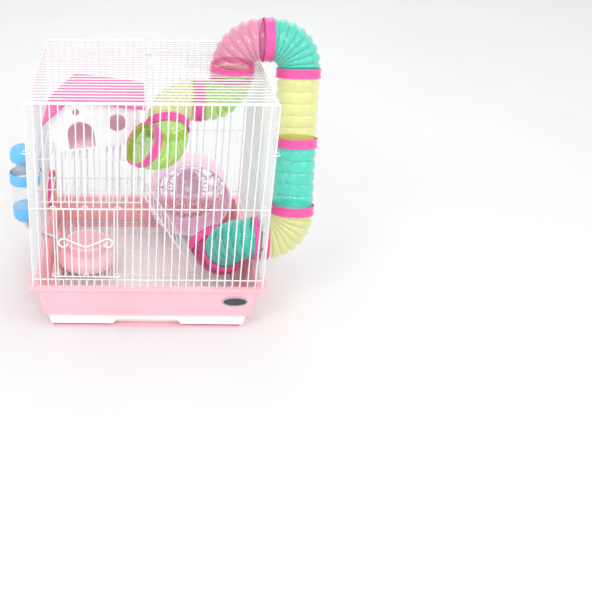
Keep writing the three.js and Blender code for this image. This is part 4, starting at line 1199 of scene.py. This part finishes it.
def wheel():
    """A drum with treads inside, a lattice that closes its back, and a hub."""
    move = on_back_face("wheel")
    wall_r = WHEEL_R - 0.8
    profile = [
        (WHEEL_INNER_R - 4, 0.0),
        (wall_r - 0.6, 0.0),
        (wall_r, 0.6),
        (wall_r, WHEEL_DEPTH - 5),
        (WHEEL_R, WHEEL_DEPTH - 3.6),
        (WHEEL_R, WHEEL_DEPTH - 1.2),
        (WHEEL_R - 0.8, WHEEL_DEPTH),
        (WHEEL_INNER_R - 0.6, WHEEL_DEPTH),
        (WHEEL_INNER_R - 1.4, WHEEL_DEPTH - 1.4),
        (WHEEL_INNER_R - 0.2, WHEEL_DEPTH - 3.4),
        (WHEEL_INNER_R - 0.2, 3.4),
        (WHEEL_INNER_R - 3.4, 2.6),
        (WHEEL_INNER_R - 4, 2.0),
    ]

    def wave(angles, index):
        bumps = np.clip(np.cos(TREADS * angles), 0.4, 1.0) - 0.4
        return -1.2 * bumps if index in TREAD_ROWS else 0 * angles

    drum = turned_shape(profile, 384, move, wave)
    deliver_shape("wheel_drum", drum, "wheel_plastic", "running_wheel", "wheel")

    lattice = Shape()
    for radius in LATTICE_RINGS:
        add_loop(lattice, move(np.array([around(radius, angle) for angle in circle_angles(72)])), 1.0)
    for inner, outer, cells in LATTICE_BANDS:
        cell = 2 * math.pi / cells
        for start in circle_angles(cells):
            ends = ((inner, start), (outer, start + cell)), ((inner, start + cell), (outer, start))
            for near, far in ends:
                add_wire(lattice, move(np.array([around(*near), around(*far)])), 0.75, 6)
            spoke = np.array([around(inner, start), around(outer, start)])
            add_wire(lattice, move(spoke), 0.85, 6)
    deliver_shape("wheel_lattice", lattice, "wheel_plastic", "running_wheel")

    hub = soften([(2.3, 0), (13.5, 0), (13.5, 1.8), (8.4, 2.6), (8.0, 6.0), (2.3, 6.0)], 0.5)
    boss = turned_shape(hub, 56, move)
    deliver_shape("wheel_hub", boss, "wheel_plastic", "running_wheel", smooth_angle=50)


def add_loop(shape, path, radius, sides=8):
    """A closed round bar along a loop of points."""
    tangents = np.roll(path, -1, axis=0) - np.roll(path, 1, axis=0)
    tangents /= np.linalg.norm(tangents, axis=1)[:, None]
    outward = path - path.mean(axis=0)
    outward /= np.linalg.norm(outward, axis=1)[:, None]
    across = np.cross(tangents, outward)
    angles = circle_angles(sides)
    rings = [
        point + radius * (np.outer(np.cos(angles), out) + np.outer(np.sin(angles), side))
        for point, out, side in zip(path, outward, across)
    ]
    shape.add_rings(rings, closed=True)


def wheel_axle():
    low, high = box_mm("wheel_axle")
    length = high[1] - low[1]
    cap = length - 5
    profile = [(POINT_R, 0), (1.6, 0), (2, 0.5), (2, cap), (5.4, cap), (6, cap + 0.5), (6, cap + 2.4)]
    profile += [(5.2, cap + 3.6), (3.6, cap + 4.6), (1.6, cap + 5), (POINT_R, cap + 5)]
    shape = turned_shape(profile, 40, on_back_face("wheel_axle"), closed=False)
    deliver_shape("wheel_axle_pin", shape, "white_plastic", "cage_top", "wheel_axle", smooth_angle=50)


def wheel_bracket():
    """A tongue-shaped plate with a round top, hooked between the bars of the back wall."""
    low, high = box_mm("wheel_bracket")
    x = (low[0] + high[0]) / 2
    half = (high[0] - low[0]) / 2
    y0, y1 = low[1], low[1] + 5
    top = high[2] - half
    outline = [(x - half, low[2]), (x + half, low[2])]
    outline += [(x + half * math.cos(a), top + half * math.sin(a)) for a in np.linspace(0, math.pi, 24)]
    plate = Shape().add_rings([np.array([(px, y, pz) for px, pz in outline]) for y in (y0, y1)])
    made = mesh_object("wheel_bracket_plate", plate, "wheel_plastic")
    centre_z = centre_mm("wheel")[2]
    bore = turned_shape([(2.3, 0), (2.3, 10)], 32, frame_to((x, y0 - 2, centre_z), Y), closed=False)
    cut_away(made, [mesh_object("bore_cut", bore, "wheel_plastic")])
    round_edges(made, 0.8)
    deliver(made, "cage_top", "wheel_bracket", slot="wheel_plastic")
    hooks = Shape()
    hook_z = centre_z + 19
    for gap_x in (65.0, 75.0):
        outside = HALF_D + 2.4
        path = [(gap_x, y1 - 0.5, hook_z), (gap_x, outside, hook_z), (gap_x + 4.4, outside, hook_z)]
        add_wire(hooks, rounded_path(path, 1.5), 1.2, 12)
    deliver_shape("wheel_bracket_hooks", hooks, "wheel_plastic", "cage_top")


# House

HOUSE_W = 110.0
HOUSE_D = 87.0
HOUSE_WALL = 2.0
HOUSE_TILT = math.radians(8)
HOUSE_ORIGIN = np.array([-121.5, -43.0, 223.3])
FLARE = 2.5
PEAK_X, PEAK_Z = 30.6, 72.0
LEFT_SLOPE, RIGHT_SLOPE = 0.72, 0.273
ARCH_X, ARCH_R = 36.0, 17.5
ARCH_FOOT_Z, ARCH_SPRING_Z = 3.0, 22.4
# Middle and radius of each round hole
SPY_HOLE = (34.5, 54, 4.5)
ROUND_WINDOW = (85.3, 32.4, 11.8)
WALL_ROUNDING = 0.35
EAVES_X = (-10.7, 123.7)
EAVES_REACH = 6.0
RIB_PITCH = 6.6


def gable_height(x):
    return PEAK_Z - (PEAK_X - x) * LEFT_SLOPE if x < PEAK_X else PEAK_Z - (x - PEAK_X) * RIGHT_SLOPE


def house_place(points):
    """From the house's own corner to the cage; the house leans, with its right side raised."""
    points = np.array(points, float)
    cos, sin = math.cos(HOUSE_TILT), math.sin(HOUSE_TILT)
    x = points[:, 0] * cos - points[:, 2] * sin
    z = points[:, 0] * sin + points[:, 2] * cos
    return np.stack([x, points[:, 1], z], 1) + HOUSE_ORIGIN


def inside_house(point):
    """True in the room, which gets a mauve tint and a painted glow in place of the light that the thin walls
    let in, and False on the outer skin.
    """
    x, y, z = point - HOUSE_ORIGIN
    along = x * math.cos(HOUSE_TILT) + z * math.sin(HOUSE_TILT)
    up = z * math.cos(HOUSE_TILT) - x * math.sin(HOUSE_TILT)
    lean = FLARE * up / gable_height(0.0)
    in_width = HOUSE_WALL - lean - 0.5 < along < HOUSE_W - HOUSE_WALL + lean + 0.5
    return in_width and HOUSE_WALL - 0.1 < y < HOUSE_D - HOUSE_WALL + 0.1 and up > 0.5


def gable_outline():
    left, right = -FLARE, HOUSE_W + FLARE
    return [
        (0.0, 0.0),
        (HOUSE_W, 0.0),
        (right, gable_height(right)),
        (PEAK_X, PEAK_Z),
        (left, gable_height(left)),
    ]


def side_wall(shape, foot_x, top_x, thick):
    """A side wall that leans out, between the gables."""
    outline = [
        (foot_x, 0.0),
        (foot_x + thick, 0.0),
        (top_x + thick, gable_height(top_x + thick)),
        (top_x, gable_height(top_x)),
    ]
    ends = (HOUSE_WALL - 0.4, HOUSE_D - HOUSE_WALL + 0.4)
    shape.add_rings([house_place([(x, y, z) for x, z in outline]) for y in ends])


def wall_with_holes(name, outline, holes, y0, y1):
    """An upright plate in X and Z with rounded edges and holes, made from a filled outline."""
    data = bpy.data.curves.new(name, "CURVE")
    data.dimensions = "2D"
    data.fill_mode = "BOTH"
    data.extrude = (y1 - y0) / 2 - WALL_ROUNDING
    data.bevel_depth = WALL_ROUNDING
    data.bevel_resolution = 2
    data.offset = -WALL_ROUNDING
    for points in [outline, *holes]:
        spline = data.splines.new("POLY")
        spline.points.add(len(points) - 1)
        for target, (px, pz) in zip(spline.points, points):
            target.co = (px, pz, 0, 1)
        spline.use_cyclic_u = True
    sketch = bpy.data.objects.new(name, data)
    bpy.context.scene.collection.objects.link(sketch)
    depsgraph = bpy.context.evaluated_depsgraph_get()
    mesh = bpy.data.meshes.new_from_object(sketch.evaluated_get(depsgraph))
    bpy.data.objects.remove(sketch)
    points = [(v.co.x, (y0 + y1) / 2 - v.co.z, v.co.y) for v in mesh.vertices]
    faces = [tuple(p.vertices) for p in mesh.polygons]
    bpy.data.meshes.remove(mesh)
    return points, faces


def circle_outline(x, z, radius, count=40):
    return [(x + radius * math.cos(a), z + radius * math.sin(a)) for a in circle_angles(count)]


def house_body():
    """Two gables, two side walls that lean out and a thin floor, all in the house's own frame."""
    arch = [(ARCH_X - ARCH_R, ARCH_FOOT_Z), (ARCH_X + ARCH_R, ARCH_FOOT_Z)]
    for a in np.linspace(0, math.pi, 28):
        arch.append((ARCH_X + ARCH_R * math.cos(a), ARCH_SPRING_Z + ARCH_R * math.sin(a)))
    holes = [arch, circle_outline(*SPY_HOLE), circle_outline(*ROUND_WINDOW)]
    shape = Shape()
    for points, faces in (
        wall_with_holes("front_wall", gable_outline(), holes, 0, HOUSE_WALL),
        wall_with_holes("back_wall", gable_outline(), [], HOUSE_D - HOUSE_WALL, HOUSE_D),
    ):
        shape.add(house_place(points), faces)
    floor_ring = [(0.6, 0.6), (HOUSE_W - 0.6, 0.6), (HOUSE_W - 0.6, HOUSE_D - 0.6), (0.6, HOUSE_D - 0.6)]
    shape.add_rings([house_place([(x, y, z) for x, y in floor_ring]) for z in (0.2, 1.6)])
    side_wall(shape, 0.0, -FLARE, HOUSE_WALL)
    side_wall(shape, HOUSE_W, HOUSE_W + FLARE, -HOUSE_WALL)
    made = mesh_object("house_body_walls", shape, "white_plastic", 35)
    # Faces inside the room take the mauve material with its painted glow.
    made.data.materials.append(MATERIALS["house_inside_painted_light"])
    for face in made.data.polygons:
        face.material_index = int(inside_house(np.array(face.center) / MM))
    deliver(made, "cage_top", "house_body", slot="white_plastic")


def house_roof():
    """A bent plate with shallow ribs down each slope and a thin front lip."""
    left, right = EAVES_X
    front, back = -EAVES_REACH, HOUSE_D + EAVES_REACH
    lift, thickness = 0.5, 3.0
    xs = np.concatenate([np.linspace(left, PEAK_X, 18)[:-1], np.linspace(PEAK_X, right, 46)])
    ys = np.linspace(front, back, 121)
    rings = []
    for index, y in enumerate(ys):
        edge = min(index, len(ys) - 1 - index)
        rib = 0.4 * max(0.0, math.cos(2 * math.pi * (y - front) / RIB_PITCH)) if edge > 1 else 0.0
        thin = 0.5 if edge == 0 else 0.0
        top = [(x, y, gable_height(x) + lift + thickness + rib - thin) for x in xs]
        under = [(x, y, gable_height(x) + lift + thin * 0.5) for x in xs[::-1]]
        rings.append(house_place(np.array(top + under)))
    sheet = Shape().add_rings(rings)
    deliver_shape("house_roof_sheet", sheet, "magenta_plastic", "cage_top", "house_roof", smooth_angle=35)


# Bottle


def bottle_foot():
    """The lowest point of the bottle's axis."""
    middle = centre_mm("bottle_body")
    return np.array([middle[0], middle[1], box_mm("bottle_bottom_cap")[0][2]])


def bottle_part(name, profile, material, *nodes, smooth_angle=50, wave=None, closed=False):
    """A turned part of the bottle, with heights above its foot."""
    shape = turned_shape(profile, 64, shift_by(bottle_foot()), wave, closed)
    deliver_shape(name, shape, material, "bottle", *nodes, smooth_angle=smooth_angle)


def bottle():
    """The clear body, the two caps and the stopper, each from its own outline of radius and height."""
    body = [(16.2, 24.4), (17, 25.4), (17, 58), (16.6, 59), (16.6, 60), (17, 61), (17, 80), (16.2, 82)]
    body += [(11.5, 84), (11.2, 95), (9.8, 95), (10.1, 83), (15, 80.6), (15.8, 79), (15.8, 26), (15, 24.4)]
    bottle_part("bottle_body_shell", body, "clear_plastic", "bottle_body", smooth_angle=60, closed=True)
    bottom = [(POINT_R, 0), (5, 0), (8.5, 0.8), (12.6, 3), (15.6, 6.4), (17, 10.6), (17.4, 14)]
    bottom += [(17.4, 23.4), (16.8, 24), (POINT_R, 24)]

    def grip(angles, index):
        ribbed = np.clip(np.cos(36 * angles), -0.2, 1) * 0.35 - 0.35
        return ribbed if index in (6, 7) else 0 * angles

    bottle_part("bottle_bottom_cap_shell", bottom, "blue_plastic", "bottle_bottom_cap", wave=grip)
    top = [(POINT_R, 96.2), (16.8, 96.2), (17.4, 97), (17.4, 105), (16.9, 108.6), (15, 112), (11.6, 114.2)]
    top += [(7, 115), (POINT_R, 115)]
    bottle_part("bottle_top_cap_shell", top, "blue_plastic", "bottle_top_cap")
    stub = [(POINT_R, 80), (8.8, 80), (9.4, 80.6), (9.4, 88), (6.5, 89.6), (POINT_R, 89.8)]
    bottle_part("bottle_stopper", stub, "blue_plastic")


def upper_glass():
    """The clear cup between the stopper and the top cap."""
    profile = [(17, 83), (17, 95.6), (16.2, 96), (15.8, 95), (15.8, 83.4)]
    bottle_part("bottle_cup_shell", profile, "clear_plastic", closed=True)


def bottle_holder():
    """A band round the bottle, cut flat at the wall, and two arms that clip on the bars."""
    low, high = box_mm("bottle_holder")
    middle = centre_mm("bottle_body")
    z0, z1 = low[2], high[2]
    wall_x = -HALF_W - 1.4
    outline = [(17.7, z0), (19.4, z0), (19.7, z0 + 0.5), (19.7, z1 - 0.5), (19.4, z1), (17.7, z1)]
    shape = turned_shape(outline, 96, shift_by((middle[0], middle[1], 0)))
    band = mesh_object("bottle_holder_band", shape, "blue_plastic", 50)
    behind = block((wall_x, middle[1] - 30, z0 - 2), (-120, middle[1] + 30, z1 + 2))
    cut_away(band, [mesh_object("flat_cut", behind, "blue_plastic")])
    deliver(band, "cage_top", "bottle_holder", slot="blue_plastic")
    arms = Shape()
    for sy in (-1, 1):
        y = middle[1] + sy * 14.8
        path = [(middle[0] + 8, y + sy * 3, 0), (wall_x - 1, y, 0), (wall_x + 4.2, middle[1] + sy * 12, 0)]
        strap = rounded_path(path, 4.0)
        across = np.array([0, sy * 1.0, 0])
        rings = []
        for point in strap:
            quad = [(-1, z0 + 1), (1, z0 + 1), (1, z1 - 1), (-1, z1 - 1)]
            rings.append(np.array([point + across * side + Z * z for side, z in quad]))
        arms.add_rings(rings)
    made = mesh_object("bottle_holder_arms", arms, "blue_plastic")
    round_edges(made, 0.4, 2)
    deliver(made, "cage_top", slot="blue_plastic")


SIPPER_R = 3.1
BALL_R = 2.3


def sipper_tube():
    """A bent steel tube with a ball in its tip."""
    origin = bottle_foot()
    path = rounded_path([(0, 0, -0.3), (0.4, 0, -9), (14, 0, -17), (47, 0, -32)], 9.0, 10)
    shape = Shape()
    add_wire(shape, origin + path, SIPPER_R, 24)
    tip = frame_to(origin + np.array([46.8, 0, -31.9]), (33, 0, -15))
    ball = [(POINT_R + BALL_R * math.sin(a), 1.2 - BALL_R * math.cos(a)) for a in np.linspace(0, math.pi, 14)]
    shape.add_rings([tip(ring) for ring in turned(ball, 24)])
    deliver_shape("sipper_tube_steel", shape, "steel", "bottle", "sipper_tube", smooth_angle=50)


# The whole scene


FLOOR_HALF = 12.0


def floor():
    """The studio floor, in metres."""
    mesh = bpy.data.meshes.new("studio_floor")
    corners = [(sx * FLOOR_HALF, sy * FLOOR_HALF, 0) for sx, sy in ((-1, -1), (1, -1), (1, 1), (-1, 1))]
    mesh.from_pydata(corners, [], [(0, 1, 2, 3)])
    floor_material()
    mesh.materials.append(MATERIALS["studio_floor"])
    made = bpy.data.objects.new("studio_floor", mesh)
    bpy.context.scene.collection.objects.link(made)


add_camera()
add_studio()
floor()

base_tub()
badge()
drawer()
floor_grate()
food_bowl()

end_panel("front_panel", -1)
end_panel("back_panel", 1)
side_panel("left_panel", -1)
side_panel("right_panel", 1)
roof_panel()
corner_clips()
front_door()
roof_hatch()
shelf("lower_shelf", -10, -80, -12, MID_CROSS_Z - 13, MID_CROSS_Z)
shelf("upper_shelf", -10, -56, 46, HIGH_CROSS_Z - 13, HIGH_CROSS_Z, lip=True)
ladder()

right_port = add_outer_run()
add_upper_inner_run()
add_lower_inner_run(right_port)
for port_name, port_out in (("roof", Z), ("right", X), ("left", -X)):
    port_plate(f"port_plate_{port_name}", port_out)
    connector_ring(f"port_ring_{port_name}_inner", port_out, PORT_RING_W)
    if port_name != "left":
        connector_ring(f"port_ring_{port_name}_outer", port_out, PORT_RING_W)
dome_cap()

wheel()
wheel_axle()
wheel_bracket()
house_body()
house_roof()
bottle()
upper_glass()
bottle_holder()
sipper_tube()
